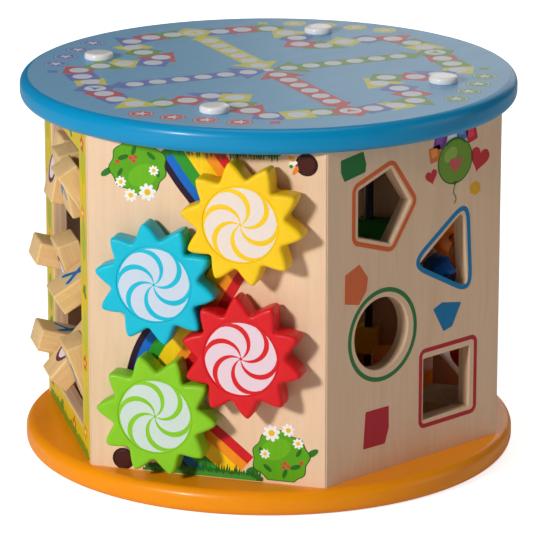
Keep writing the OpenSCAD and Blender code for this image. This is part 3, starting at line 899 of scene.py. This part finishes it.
def gear_outline(ph, k=480):
    out = []
    for i in range(k):
        t = 360.0 * i / k
        r = 26.8 + 10.2 * wave(t)
        out.append((r * math.cos(math.radians(t + ph)), r * math.sin(math.radians(t + ph))))
    return out


def smooth_ring(pts, times):
    n = len(pts)
    for _ in range(times):
        pts = [((pts[i - 1][0] + 2 * pts[i][0] + pts[(i + 1) % n][0]) / 4, (pts[i - 1][1] + 2 * pts[i][1] + pts[(i + 1) % n][1]) / 4) for i in range(n)]
    return pts


for i, c in enumerate(GEAR_COL):
    xf = local_xf(panel_matrix(GEAR, 0, *GEAR_POS[i]))
    out = smooth_ring(gear_outline(GEAR_PH[i]), 10)
    R = 2.3
    lv = [(inset(out, 1.25), G0), (inset(out, 1.0), G0), (inset(out, .45), G0 + .2), (inset(out, .12), G0 + .55), (out, G0 + 1.0)]
    steps = 7
    for j in range(steps + 1):
        a = math.pi / 2 * j / steps
        d = R * (1 - math.cos(a))
        lv.append((smooth_ring(inset(out, d), int(round(d * 3))), G1 - R * (1 - math.sin(a))))
    lv.append((smooth_ring(inset(out, R + .4), 8), G1))
    prof = [(4.05, G0), (4.05, G1 - 3), (8.4, G1 - 3), (8.4, G1 - 1), (22.75, G1 - 1), (22.75, G1 - .35), (22.95, G1 - .08), (23.3, G1)]
    hole = [(circ(0, 0, r, 96), n) for r, n in prof]
    v, f = stack(xf, [lv, hole])
    build("gear_%s_look" % c, v, f, [M["gear_" + c]], "gear_" + c, replaces=["gear_" + c], slot="gear_" + c, angle=38)
    # badge disc with its printed swirl
    t = G1 - .3
    acc = Acc()
    acc.add(*lathe(xf, [(0, G1 - 1), (22.4, G1 - 1), (22.68, G1 - .8), (22.68, t - .08), (22.6, t - .02), (22.5, t), (12, t), (0, t)], 96, closed=False), M["gear_" + c])
    RB = 21.7
    for b in range(6):
        phi = -19 + 60 * b
        n = 26

        def lead(r):
            return phi + math.degrees(math.asin(min(1, r / (RB * 1.02)))) * 1.06

        def trail(r):
            return lead(r) + 60 - 15 - 4 * (2 * r / RB - 1) ** 2
        rs = [1.0 + (RB - 1.0) * k / n for k in range(n + 1)]
        right = [(r * math.cos(math.radians(lead(r))), r * math.sin(math.radians(lead(r)))) for r in rs]
        left = [(r * math.cos(math.radians(trail(r))), r * math.sin(math.radians(trail(r)))) for r in rs]
        a1, a2 = lead(RB), trail(RB)
        rim = [(RB * math.cos(math.radians(a1 + (a2 - a1) * q / 8)), RB * math.sin(math.radians(a1 + (a2 - a1) * q / 8))) for q in range(1, 8)]
        acc.add(*prism(xf, right + rim + list(reversed(left)), t - .1, t + .05), M["swirl_" + c])
    acc.build("badge_%s_look" % c, "gear_" + c, replaces=["badge_" + c], slot="gear_" + c, angle=30)

# ------------------------------------------------------------------ prints on the gear panel
rng = random.Random(7)
g = Print(GEAR)
PURPLE, BLUE, GREEN, YEL, ORA, RED = (38, 10, 46), (8, 104, 200), (44, 150, 40), (254, 208, 12), (246, 150, 26), (212, 26, 34)
mid = spline([(-13.5, 216.4), (-3.5, 202), (8, 187), (15, 170), (13, 156), (6.9, 145.8), (-1.5, 131), (-10, 115), (-19, 99), (-27.8, 84.3),
              (-31.5, 68), (-25, 53), (-12, 39.5), (3, 27.4), (17, 16)], 8)
mid = [(u, min(216.4, max(15.6, z))) for u, z in mid]


def clamp_strip(pr, line, w0, w1, rgb, layer):
    n = len(line)
    pts_l, pts_r = [], []
    for i in range(n):
        p, q = line[max(0, i - 1)], line[min(n - 1, i + 1)]
        d = Vector((q[0] - p[0], q[1] - p[1])).normalized()
        nx, ny = -d.y, d.x
        for w, lst in ((w1, pts_l), (w0, pts_r)):
            lst.append((line[i][0] + nx * w, min(216.5, max(15.5, line[i][1] + ny * w))))
    n0, n1 = -.08, .05 + .035 * layer
    v, f = [], []
    for l, r in zip(pts_l, pts_r):
        v += [pr.xf(n0, *l), pr.xf(n0, *r), pr.xf(n1, *l), pr.xf(n1, *r)]
    for i in range(n - 1):
        a, b = i * 4, i * 4 + 4
        f += [(a, b, b + 1, a + 1), (a + 2, a + 3, b + 3, b + 2), (a, a + 2, b + 2, b), (a + 1, b + 1, b + 3, a + 3)]
    f += [(0, 1, 3, 2), (4 * n - 4, 4 * n - 2, 4 * n - 1, 4 * n - 3)]
    pr.acc.add(v, f, pr.col(rgb))


# from the outer-left edge: offsets to the left of the downward line are to its right-hand side in the picture
bands = [(-18.3, -14.3, PURPLE), (-14.4, -9.4, BLUE), (-9.5, -2.2, GREEN), (-2.3, 6.4, YEL), (6.3, 12.2, ORA), (12.1, 18, RED)]
for q, (w0, w1, rgb) in enumerate(bands):
    clamp_strip(g, mid, w0, w1, rgb, q % 2)


def bush(pr, cx, cz, flip):
    """A round leafy bush with daisies and berries: a generic stand-in picture."""
    s = -1 if flip else 1

    def P(x, y):
        return (cx + s * x, cz + s * y)

    def PP(pts):
        return [P(x, y) for x, y in pts]
    body = []
    for i in range(72):
        t = 2 * math.pi * i / 72
        r = 16.2 + .8 * math.sin(9 * t + .6) + .5 * math.sin(4 * t)
        body.append((r * math.cos(t) * 1.03, max(-14.0, r * math.sin(t) * .98)))
    pr.shape(PP([(x * 1.035, y * 1.035) for x, y in body]), (24, 84, 24), 2)
    pr.shape(PP(body), (92, 168, 14), 3)
    pr.shape(PP(ellipse(-3, 5, 9.5, 6.4, 25)), (108, 184, 22), 4)
    for x, y, r, a in ((9, -5, 3.4, 20), (-8, -7, 3.2, 140), (2.5, -9.5, 3.0, 70), (11, 4, 2.8, 60), (-12.0, 3, 2.6, 100)):
        pr.shape(PP(ellipse(x, y, r, r * .42, a)), (34, 112, 28), 5)
    # side leaves
    pr.shape(PP(ellipse(19.2, 4.5, 4.2, 1.9, 35)), (42, 122, 34), 2)
    pr.shape(PP(ellipse(-17.4, -9.6, 4.0, 2.2, 200)), (42, 122, 34), 2)
    # uneven daisies and a few berries
    for fx, fy, fs in ((-5.6, 14.8, 1.12), (4.6, 17.4, .86), (10.6, 9.8, .72), (-9.6, 1.6, .66)):
        for k in range(8):
            a = 45 * k + 12
            pr.shape(PP(ellipse(fx + 2.9 * fs * math.cos(math.radians(a)), fy + 2.9 * fs * math.sin(math.radians(a)), 1.9 * fs, 1.15 * fs, a, 16)),
                     (246, 246, 240), 6 + k % 2)
        pr.shape(PP(circ(fx, fy, 1.7 * fs, 20)), (244, 190, 30), 9)
    for fx, fy in ((2.6, -3.2), (4.6, -5.0), (1.6, -5.8), (12.6, -2.2)):
        pr.shape(PP(circ(fx, fy, 1.25, 18)), (216, 66, 60), 6)


bush(g, 45.0, 31.2, False)
bush(g, -41.0, 200.4, True)
g.shape(grass(-40, 34, 15.5, 9.5, rng), (28, 104, 30), 10)
g.shape(grass(-38, 30, 15.5, 5.0, rng), (66, 150, 40), 11)
g.shape(grass(-20, 46, 216.4, 8.5, rng, -1), (28, 104, 30), 10)
g.shape(grass(-16, 42, 216.4, 4.4, rng, -1), (66, 150, 40), 11)
# small generic petals beside the plugs
for px, pz, s in ((60.3, 209, -1), (-52.1, 21, 1)):
    g.shape(ellipse(px + s * 8.0, pz - s * .4, 2.6, 1.5, 15), (246, 246, 238), 3)
    g.shape(ellipse(px + s * 8.8, pz - s * 2.9, 2.2, 1.3, -30), (244, 160, 40), 4)
    g.shape(ellipse(px + s * 6.4, pz + s * 3.6, 3.4, 1.3, 60), (240, 140, 40), 3)
    g.shape(circ(px + s * 9.2, pz + s * 1.6, 1.1, 16), (60, 130, 40), 5)
    g.ring(circ(px, pz, 6.7, 40), 1.15, (44, 8, 4), 2)
o = g.done("gear_panel_print")

# ------------------------------------------------------------------ prints on the sorter panel
p = Print(SORTER)
p.ring(dense(ngon(-28.2, 176, 5, 29.9, 6.5, 0, 8), 3), 2.8, (222, 104, 46), 1)
p.ring(dense(round_poly([(45.0, 170.5), (-6.2, 136.6), (49.3, 107.4)], 9.5, 10), 3), 3.0, (0, 126, 184), 1)
p.ring(circ(-26.6, 99.2, 28.4, 96), 2.7, (52, 124, 64), 1)
p.ring(dense(rrect(28.9, 58, 49.6, 49.6, 5, 6), 3), 2.7, (186, 36, 52), 1)
for pts, rgb in (([(-61.6, 210.4), (-43.6, 212.7), (-41.2, 204.9), (-41.8, 200.1), (-58.6, 197.3), (-61.5, 203.2)], (24, 116, 52)),
                 ([(-46.2, 145.8), (-57.8, 141.3), (-58, 124), (-46.4, 121.3), (-40.2, 128.7), (-39.1, 136.6)], (224, 112, 60)),
                 ([(15.5, 105.7), (23, 108.5), (39.5, 105.4), (31.9, 92), (24.6, 90.2)], (0, 122, 180)),
                 ([(-40.2, 54.4), (-21, 54.1), (-20.9, 40.6), (-24.2, 31.3), (-42.1, 31.7)], (188, 34, 52))):
    p.shape(dense(round_poly(pts, .8, 3), 4), rgb, 1)
# generic balloons, hearts and blocks in the top corner
p.shape(ellipse(32.5, 193.5, 14.6, 14.0, 0, 56), (40, 104, 40), 2)
p.shape(ellipse(32.5, 193.5, 13.8, 13.2, 0, 56), (118, 160, 48), 3)
p.shape(ellipse(28.5, 198.0, 6.0, 4.2, 25, 28), (150, 188, 74), 4)
p.shape([(30.6, 180.9), (34.4, 180.9), (32.5, 178.0)], (60, 120, 44), 3)
p.line(spline([(32.5, 179), (31.5, 174.5), (33.6, 170.5), (32.2, 167.5)], 6), .7, (60, 120, 44), 2)
p.shape(heart(32.7, 191.5, 5.2), (214, 92, 96), 5)
p.shape(heart(12.6, 187.5, 4.9, 12), (206, 44, 56), 2)
p.shape(heart(53.2, 191.5, 8.2, -18), (206, 44, 56), 2)
p.shape(round_poly([(45.4, 176.0), (49.5, 178.2), (54.0, 176.2), (54.2, 171.5), (50.0, 169.2), (45.6, 171.6)], .8), (232, 176, 40), 2)
for x, z, w, rgb, a in ((15.5, 200.5, 9.5, (226, 120, 56), 10), (20.0, 208.0, 10.5, (112, 60, 140), -12), (30.0, 210.6, 8.0, (232, 232, 236), 8),
                        (38.5, 210.4, 9.0, (84, 120, 192), -6), (46.4, 207.2, 8.6, (202, 46, 66), 14)):
    p.shape(rrect(x, z, w, w, 1.0, 3, a), rgb, 1)
    p.shape(rrect(x - .8, z + .8, w * .55, w * .55, .6, 2, a), tuple(min(255, int(v * 1.22) + 8) for v in rgb), 2)
p.line(spline([(24.5, 204), (28, 206.4), (33, 207.2), (38, 206), (41, 203.5)], 5), 1.6, (40, 104, 40), 4)
o = p.done("sorter_panel_print")

# ------------------------------------------------------------------ prints on the tile panel
p = Print(TILE)
FR = [(-71.4, Z0 + .4), (71.4, Z0 + .4), (71.4, Z1 - .4), (-71.4, Z1 - .4)]
fr_out = dense([(-69.6, Z0 + .4), (69.6, Z0 + .4), (69.6, Z1 - .4), (-69.6, Z1 - .4)], 6)
fr_hole = rrect(0, MID, 94 + 1.9, 170 + 1.9, 1.4, 3)
p.shape(fr_out, (222, 196, 20), 0, holes=[dense(fr_hole, 6)])
for cx, cz, rx, rz, rgb in ((60, 196, 7, 12, (190, 190, 30)), (-60, 196, 7, 14, (188, 186, 28)), (59, 150, 6.5, 13, (172, 182, 30)),
                            (-59, 140, 6.5, 16, (176, 180, 24)), (59.5, 92, 6.5, 15, (190, 196, 30)), (-59, 84, 6.5, 12, (160, 172, 26)),
                            (60, 48, 7, 12, (206, 196, 24)), (-60, 40, 7, 10, (210, 170, 30))):
    p.shape(ellipse(cx, cz, rx, rz, 0, 36), rgb, 1)
for i, (cx, cz) in enumerate(((58, 208), (-58, 208), (57.5, 166), (-58, 160), (59, 120), (-59, 118), (58, 74), (-58, 66), (56, 30), (-57, 28), (20, 209), (-20, 209), (18, 22.5), (-24, 22.5))):
    if i % 3 == 0:
        p.flower(cx, cz, 5.2, (214, 70, 40), (250, 220, 90), 3)
    elif i % 3 == 1:
        p.shape(ellipse(cx, cz, 5.0, 2.4, 30), (90, 150, 40), 3)
        p.shape(ellipse(cx + 1.5, cz - 2.2, 4.4, 2.0, -35), (60, 128, 40), 4)
    else:
        p.flower(cx, cz, 4.6, (240, 140, 40), (255, 240, 190), 3, 6)
p.shape(grass(-66, 66, Z0 + .5, 7.0, rng), (120, 150, 30), 8)
o = p.done("tile_panel_print")

# ------------------------------------------------------------------ turning tiles
def ring_outline(r, k=40):
    return circ(0, 0, r, k)


rows, cols = ["top", "middle", "bottom"], ["left", "centre", "right"]
MARKS = {(0, 0): "X", (0, 1): "O", (0, 2): "X", (1, 0): "O", (1, 1): "X", (1, 2): "X", (2, 0): "X", (2, 1): "O", (2, 2): "O"}
MX = ink("mark_blue", srgb(22, 96, 168), None, .45, 91, .7)
MXo = ink("mark_blue_edge", srgb(150, 206, 214), None, .45, 92, .7)
MO = ink("mark_purple", srgb(92, 26, 74), None, .45, 93, .7)
MOf = ink("mark_white", srgb(238, 226, 224), None, .45, 94, .7)
for r in range(3):
    for k in range(3):
        turn = TILE_TURN[r][k]
        m = panel_matrix(TILE, -PLY / 2, (k - 1) * 29.5, TILE_ROWS[r]) @ Matrix.Rotation(math.radians(-turn), 4, "Y")
        # local: X along the long side, Y along the axle, Z through the thickness; the prism runs along Y
        ax = m.to_3x3() @ Vector((0, 1, 0))
        lx = m.to_3x3() @ Vector((1, 0, 0))
        lz = m.to_3x3() @ Vector((0, 0, 1))
        seed = 7.3 * r + 2.9 * k
        mt = wood("tile_wood_%d%d" % (r, k), srgb(238, 202, 146), tuple(lx), tuple(lz), tuple(ax), seed, 1.0, .5, .1, 360.0, .82)
        name = "tile_%s_%s" % (rows[r], cols[k])
        acc = Acc()
        xf = (lambda mm: lambda n, u, z: tuple((mm @ Vector((u, n, z))) * .001)(0) if False else tuple((mm @ Vector((u, n, z))) * .001))(m)
        out = rrect(0, 0, 40, 14, 1.3, 5)
        lv = edge_levels(ccw(dense(out, 4)), -13.5, 13.5, 1.1, 1.1, 4)
        hole = [(circ(0, 0, rr, 40), nn) for rr, nn in ((3.75, -13.5), (3.42, -13.2), (3.3, -12.8), (3.3, 12.8), (3.42, 13.2), (3.75, 13.5))]
        acc.add(*stack(xf, [lv, hole]), mt)
        # the printed mark on the face that shows, the other mark on the back of it
        for side in (1, -1):
            mk = MARKS[(r, k)] if side == 1 else ("O" if MARKS[(r, k)] == "X" else "X")
            fx = (lambda mm, sd: lambda n, u, z: tuple((mm @ Vector((u, z, sd * (7 + n)))) * .001))(m, side)
            if mk == "X":
                for q, rot in enumerate((42, -42)):
                    for w, mat, lay in ((5.2, MXo, 0), (3.4, MX, 1)):
                        ln = 24.0 if w < 5 else 25.8
                        acc.add(*prism(fx, dense(rrect(0, 0, ln, w, w * .48, 4, rot), 4), -.08, .04 + .03 * lay + .012 * q), mat)
            else:
                acc.add(*prism(fx, ring_outline(10.2), -.08, .05), MO)
                acc.add(*prism(fx, ring_outline(7.4), -.08, .09), MOf)
        acc.build(name + "_look", name, replaces=[name], slot="tile_wood", angle=30)

# ------------------------------------------------------------------ abacus
for r, c in enumerate(["red", "blue", "orange", "green", "yellow"]):
    for s, sn in enumerate(["left", "right"]):
        name = "bead_%s_%s" % (c, sn)
        m = panel_matrix(ABACUS, -PLY / 2, BEAD_REST[r][s], MID + 30 * (r - 2)) @ Matrix(((0, 0, 1, 0), (1, 0, 0, 0), (0, 1, 0, 0), (0, 0, 0, 1)))
        # local n runs along the rod
        prof = [(2.55, -9.2), (2.9, -9.8), (3.6, -10)]
        prof += [(9.6, -10), (10.15, -9.88)]
        k = 14
        a0 = math.degrees(math.asin(9.2 / 14.4))
        sph = []
        for i in range(k + 1):
            a = math.radians(-a0 + 2 * a0 * i / k)
            sph.append((min(13.5, 14.4 * math.cos(a)) - .02, 14.4 * math.sin(a)))
        prof += sph + [(10.15, 9.88), (9.6, 10), (3.6, 10), (2.9, 9.8), (2.55, 9.2)]
        v, f = lathe(local_xf(m), prof, 64, closed=True)
        build(name + "_look", v, f, [M["paint_" + c]], name, replaces=[name], slot="bead_" + c, angle=40)
p = Print(ABACUS)
for r, (c, rgb) in enumerate((("red", (206, 34, 40)), ("blue", (28, 108, 186)), ("orange", (240, 136, 30)), ("green", (40, 140, 56)), ("yellow", (244, 200, 40)))):
    z = MID + 30 * (r - 2)
    for q in range(5 - r):
        p.shape(circ(-62.6 + 6.4 * (q % 2), z + 5.6 - 6.4 * (q // 2), 2.5, 24), rgb, 1)
    p.shape(circ(57.6, z, 6.4, 36), (40, 40, 44), 1)
    p.shape(circ(57.6, z, 5.9, 36), rgb, 2)
    p.shape(star(57.6, z, 4.4), (252, 250, 240), 3)
p.ring(dense(rrect(0, MID, 98, 169, 5, 6), 6), 1.6, (30, 112, 188), 1)
for q in range(7):
    x = -54 + 18 * q
    p.flower(x, 207.2, 4.8, ((214, 60, 56), (246, 170, 40), (60, 130, 200))[q % 3], (255, 240, 170), 2, 5 + q % 2)
p.shape(grass(-66, 66, 15.5, 9.0, rng), (32, 112, 36), 2)
p.shape(grass(-62, 62, 15.5, 5.0, rng), (84, 164, 48), 3)
for q in range(6):
    p.flower(-50 + 20 * q, 25.5, 3.4, ((250, 240, 236), (240, 120, 130))[q % 2], (248, 200, 50), 5, 6)
o = p.done("abacus_panel_print")

# ------------------------------------------------------------------ sliders
for c, u, z, mid_u in (("yellow", -34, Z0 + 17, 6.1), ("green", -34, Z0 + 89, -6.1), ("red", 34, Z0 + 135, 6.1)):
    m = panel_matrix(SLIDER, 0, u + SLOT_OFF, z)
    body = "slider_" + c
    prof = [(0, -12), (2.1, -12), (2.4, -11.7), (2.4, 1.05), (8.6, 1.0)] + arc(9, 5, 4, -90, 0, 7) + arc(9, 9, 4, 0, 90, 7) + [(5, 13.0), (2, 13.0), (0, 13.0)]
    v, f = lathe(local_xf(m), prof, 64, closed=False)
    build("knob_%s_look" % c, v, f, [M["paint_" + c]], body, replaces=["knob_" + c], slot="bead_" + c, angle=40)
    # the runner, drilled for the rod, with softened edges
    mr = panel_matrix(SLIDER, -16, u, z)
    xf = (lambda mm: lambda n, a, b: tuple((mm @ Vector((a, b, n))) * .001))(mr)
    out = dense(rrect(0, mid_u, 12, 27, 2.7, 6), 4)
    lv = edge_levels(ccw(out), -9, 9, 2.1, 2.1, 6)
    hole = [(circ(0, 0, rr, 32), nn) for rr, nn in ((3.0, -9), (2.65, -8.6), (2.65, 8.6), (3.0, 9))]
    v, f = stack(xf, [lv, hole])
    build("runner_%s_look" % c, v, f, [M["paint_" + c]], body, replaces=["runner_" + c], slot="bead_" + c, angle=35)
p = Print(SLIDER)
for u, rgb in ((-34, (36, 120, 196)), (34, (226, 84, 44))):
    ringpts = slot2(u, 7.4)
    p.ring(dense(ringpts, 6), 1.8, rgb, 1)
    for q in range(9):
        z = 44 + 18 * q
        p.shape(rrect(u + SLOT_OFF + 13.5, z, 6.0 if q % 2 else 9.0, 1.4, .6, 3), rgb, 1)
        p.shape(rrect(u + SLOT_OFF - 13.5, z, 6.0 if q % 2 else 9.0, 1.4, .6, 3), rgb, 1)
for cx, cz, s in ((0, 196, 1.0), (-4, 150, .8), (5, 100, .9), (-2, 52, .8)):
    p.shape(ellipse(cx, cz, 10 * s, 5 * s, 0), (150, 200, 232), 1)
    p.shape(ellipse(cx - 5 * s, cz + 3 * s, 5.4 * s, 4.4 * s, 0), (172, 214, 240), 2)
    p.shape(ellipse(cx + 4 * s, cz + 3.6 * s, 6.0 * s, 5.2 * s, 0), (190, 224, 244), 3)
p.shape(circ(0, 173, 6.6, 40), (250, 196, 40), 2)
for q in range(10):
    a = 36 * q
    x, z = 9.6 * math.cos(math.radians(a)), 173 + 9.6 * math.sin(math.radians(a))
    p.shape(rrect(x, z, 4.0, 1.3, .5, 3, a), (246, 170, 34), 2)
for q, (cx, cz) in enumerate(((0, 126), (3, 76), (-62, 204), (62, 204), (-63, 26), (63, 26))):
    p.flower(cx, cz, 6.4, ((214, 60, 56), (240, 140, 40), (84, 110, 190))[q % 3], (255, 236, 150), 3, 6)
p.shape(grass(-66, 66, 15.5, 8.0, rng), (32, 112, 36), 2)
p.shape(grass(-60, 60, 15.5, 4.4, rng), (84, 164, 48), 3)
o = p.done("slider_panel_print")

# ------------------------------------------------------------------ clock
p = Print(CLOCK)
CZ = 118
p.shape(circ(0, CZ, 60.5, 120), (34, 112, 186), 1)
p.shape(circ(0, CZ, 57.0, 120), (250, 224, 96), 2)
p.shape(circ(0, CZ, 54.6, 120), (250, 244, 226), 3)
for q in range(60):
    a = 6 * q
    c_, s_ = cs(a)
    big = q % 5 == 0
    p.shape(rrect(50.6 * c_ if not big else 50.0 * c_, CZ + (50.6 if not big else 50.0) * s_, 2.2 if not big else 4.0, .55 if not big else 1.3, .2, 2, a), (40, 44, 60), 4)
for cx, cz, rgb in ((-52, 204, (214, 60, 56)), (52, 204, (246, 170, 40)), (-52, 34, (60, 130, 200)), (52, 34, (90, 160, 60)), (0, 206, (240, 120, 130))):
    p.flower(cx, cz, 8.2, rgb, (255, 240, 170), 2, 6)
p.shape(ellipse(-26, 203, 11, 5.2, 0), (150, 200, 232), 1)
p.shape(ellipse(-30, 206, 5.6, 4.4, 0), (182, 218, 242), 2)
p.shape(ellipse(26, 203, 11, 5.2, 0), (150, 200, 232), 1)
p.shape(ellipse(30, 206, 5.6, 4.4, 0), (182, 218, 242), 2)
p.shape(grass(-66, 66, 15.5, 9.0, rng), (32, 112, 36), 1)
p.shape(grass(-60, 60, 15.5, 5.0, rng), (84, 164, 48), 2)
o = p.done("clock_panel_print")
NUM = [ink("num_%d" % i, srgb(*c), CLOCK, .45, 110 + i) for i, c in enumerate(((206, 34, 40), (28, 108, 186), (230, 120, 20), (40, 140, 56)))]
nums = []
for h in range(1, 13):
    cu = bpy.data.curves.new("num%d" % h, "FONT")
    cu.body = str(h)
    cu.size = .0125
    cu.extrude = .00011
    cu.align_x, cu.align_y = "CENTER", "CENTER"
    cu.offset = .00025
    to = bpy.data.objects.new("tmp_num", cu)
    bpy.context.scene.collection.objects.link(to)
    bpy.context.view_layer.update()
    me = bpy.data.meshes.new_from_object(to.evaluated_get(bpy.context.evaluated_depsgraph_get()))
    bpy.data.objects.remove(to)
    a = math.radians(90 - 30 * h)
    c_, s_ = cs(CLOCK)
    u0, z0 = 41.5 * math.cos(a), CZ + 41.5 * math.sin(a)
    Nn, Uu = Vector((c_, s_, 0)), Vector((-s_, c_, 0))
    pos = Vector(panel_xf(CLOCK)(.12, u0, z0))
    mt = Matrix((( Uu.x, 0, Nn.x, pos.x), (Uu.y, 0, Nn.y, pos.y), (0, 1, 0, pos.z), (0, 0, 0, 1)))
    me.transform(mt)
    bm = bmesh.new()
    bm.from_mesh(me)
    bmesh.ops.remove_doubles(bm, verts=bm.verts, dist=1e-6)
    bmesh.ops.recalc_face_normals(bm, faces=bm.faces)
    bm.to_mesh(me)
    bm.free()
    me.materials.clear()
    me.materials.append(NUM[h % 4])
    nums.append(me)
acc = Acc()
for h, me in enumerate(nums):
    acc.add([tuple(v.co) for v in me.vertices], [tuple(f.vertices) for f in me.polygons], NUM[(h + 1) % 4])
o = acc.build("clock_numbers", "root", angle=30)

for name, ln, w, n0, n1, turn, mat in (("hour_hand", 32, 7, .8, 3.8, 60, "paint_red"), ("minute_hand", 46, 6, 4.2, 7.2, -60, "paint_blue")):
    m = panel_matrix(CLOCK, 0, 0, CZ) @ Matrix.Rotation(math.radians(turn), 4, "X")
    xf = local_xf(m)
    # outline of hub, shaft and arrow head
    a0 = math.degrees(math.acos((w / 2) / 8.0))
    hub = [(8 * math.cos(math.radians(q)), 8 * math.sin(math.radians(q))) for q in [180 - a0 + (180 + 2 * a0) * t / 40 for t in range(41)]]
    out = hub + [(w / 2, ln - 11), (w, ln - 11), (0, ln), (-w, ln - 11), (-w / 2, ln - 11)]
    out = dense(round_poly(out, .35, 2) if False else out, 2.5)
    lv = edge_levels(ccw(out), n0, n1, .35, .5, 3)
    hole = [(circ(0, 0, rr, 36), nn) for rr, nn in ((3.35, n0), (3.05, n0 + .3), (3.05, n1 - .3), (3.35, n1))]
    v, f = stack(xf, [lv, hole])
    build(name + "_look", v, f, [M[mat]], name, replaces=[name], slot="gear_red" if name == "hour_hand" else "bead_blue", angle=35)
m = panel_matrix(CLOCK, 0, 0, CZ)
prof = [(0, -9), (3, -9), (3, 8), (6.6, 8), (6.95, 8.3)] + arc(5.4, 9.5, 1.5, 0, 80, 6) + [(3.4, 11.0), (1.5, 11.0), (0, 11.0)]
v, f = lathe(local_xf(m), prof, 48, closed=False)
build("clock_pin_look", v, f, [M["steel"]], "root", replaces=["clock_pin"], slot="steel", angle=40)

# ------------------------------------------------------------------ loose blocks
BLK = [("block_cylinder", (-44, -30), 0, circ(0, 0, 20.3, 72), "green"),
       ("block_cube", (-38, 44), 20, None, "red"),
       ("block_pentagon", (64, -50), 24, ngon(0, 0, 5, 21.0, 1.2, 0, 5), "orange"),
       ("block_triangle", (18, 52), 75, ngon(0, 0, 3, 24.9, 2.5, 0, 6), "blue")]
for name, (bx, by), rot, out, c in BLK:
    if out is None:
        s_ = 36.0
        out = rrect(0, 0, s_, s_, .9, 4)
    c_, s__ = cs(rot)
    pts = [(bx + x * c_ - y * s__, by + x * s__ + y * c_) for x, y in out]
    v, f = prism(disc_xf, dense(pts, 4), Z0, Z0 + 36, .9, .9, steps=3)
    build(name + "_look", v, f, [M["paint_" + c]], name, replaces=[name], slot="bead_" + c, angle=35)

# ------------------------------------------------------------------ stage
me = bpy.data.meshes.new("floor")
me.from_pydata([(-6, -6, -.0002), (6, -6, -.0002), (6, 6, -.0002), (-6, 6, -.0002)], [], [(0, 1, 2, 3)])
fl = bpy.data.objects.new("floor", me)
bpy.context.scene.collection.objects.link(fl)
t = Tree("floor_pale")
n1 = t.noise(t.co, 3.0, 2.0, .5)
colf = t.mix(t.ramp(n1, .3, .7, 0, .4), (.93, .93, .93, 1), (.90, .90, .905, 1))
p_ = t.node("BsdfPrincipled")
t.put(p_.inputs["Base Color"], colf)
t.put(p_.inputs["Roughness"], .85)
t.put(p_.inputs["Specular IOR Level"], .1)
t.put(p_.inputs["Emission Color"], (1, 1, 1, 1))
lp0 = t.node("LightPath")
away = t.node("VectorMath")  # the floor's far part fades into the backdrop
away.operation = "LENGTH"
t.put(away.inputs[0], t.co)
t.put(p_.inputs["Emission Strength"], t.math("MULTIPLY", lp0.outputs["Is Camera Ray"], t.ramp(away.outputs["Value"], .4, 1.7, .78, 1.0)))
o_ = t.node("OutputMaterial")
t.t.links.new(p_.outputs[0], o_.inputs[0])
me.materials.append(t.mat)

w = bpy.data.worlds.new("studio")
bpy.context.scene.world = w
w.use_nodes = True
nt = w.node_tree
nt.nodes.clear()
lp_ = nt.nodes.new("ShaderNodeLightPath")
b1 = nt.nodes.new("ShaderNodeBackground")
b1.inputs[0].default_value = (1, .90, .82, 1)
b1.inputs[1].default_value = .065
b2 = nt.nodes.new("ShaderNodeBackground")
b2.inputs[0].default_value = (1, 1, 1, 1)
b2.inputs[1].default_value = 1.02
mx = nt.nodes.new("ShaderNodeMixShader")
wo = nt.nodes.new("ShaderNodeOutputWorld")
nt.links.new(lp_.outputs["Is Camera Ray"], mx.inputs[0])
nt.links.new(b1.outputs[0], mx.inputs[1])
nt.links.new(b2.outputs[0], mx.inputs[2])
nt.links.new(mx.outputs[0], wo.inputs[0])


def area_light(name, direction, dist, size, power, col=(1, 1, 1), target=(0, 0, .11), size_y=None):
    ld = bpy.data.lights.new(name, "AREA")
    ld.energy = power
    ld.color = col
    ld.size = size
    if size_y:
        ld.shape = "RECTANGLE"
        ld.size_y = size_y
    ob = bpy.data.objects.new(name, ld)
    bpy.context.scene.collection.objects.link(ob)
    d = Vector(direction).normalized()
    ob.location = Vector(target) + d * dist
    ob.rotation_mode = "QUATERNION"
    ob.rotation_quaternion = (-d).to_track_quat("-Z", "Y")
    return ob


area_light("key", (-.94, -.11, .40), 2.2, .26, 34, (1.0, .985, .96))
area_light("fill", (.75, -1.0, .30), 2.4, 1.4, 7.0, (1.0, .94, .91))
area_light("top", (.12, .10, 1.0), 2.4, 1.4, 11, (1, 1, 1))
area_light("rear", (.86, .50, .34), 2.4, 1.4, 8, (1, .97, .94))

cam_d = bpy.data.cameras.new("camera")
cam_d.sensor_width = 36
cam_d.lens = 237.6
cam = bpy.data.objects.new("camera", cam_d)
bpy.context.scene.collection.objects.link(cam)
az, el = math.radians(-43.35), math.radians(16.46)
back = Vector((math.sin(az) * math.cos(el), -math.cos(az) * math.cos(el), math.sin(el)))
right = Vector((math.cos(az), math.sin(az), 0))
cam.location = right * .0038 + Vector((0, 0, .10315)) + back * 2.2258
cam.rotation_mode = "QUATERNION"
cam.rotation_quaternion = (-back).to_track_quat("-Z", "Y")
cam_d.clip_start, cam_d.clip_end = .05, 60
bpy.context.scene.camera = cam
bpy.context.scene.view_settings.view_transform = "Standard"
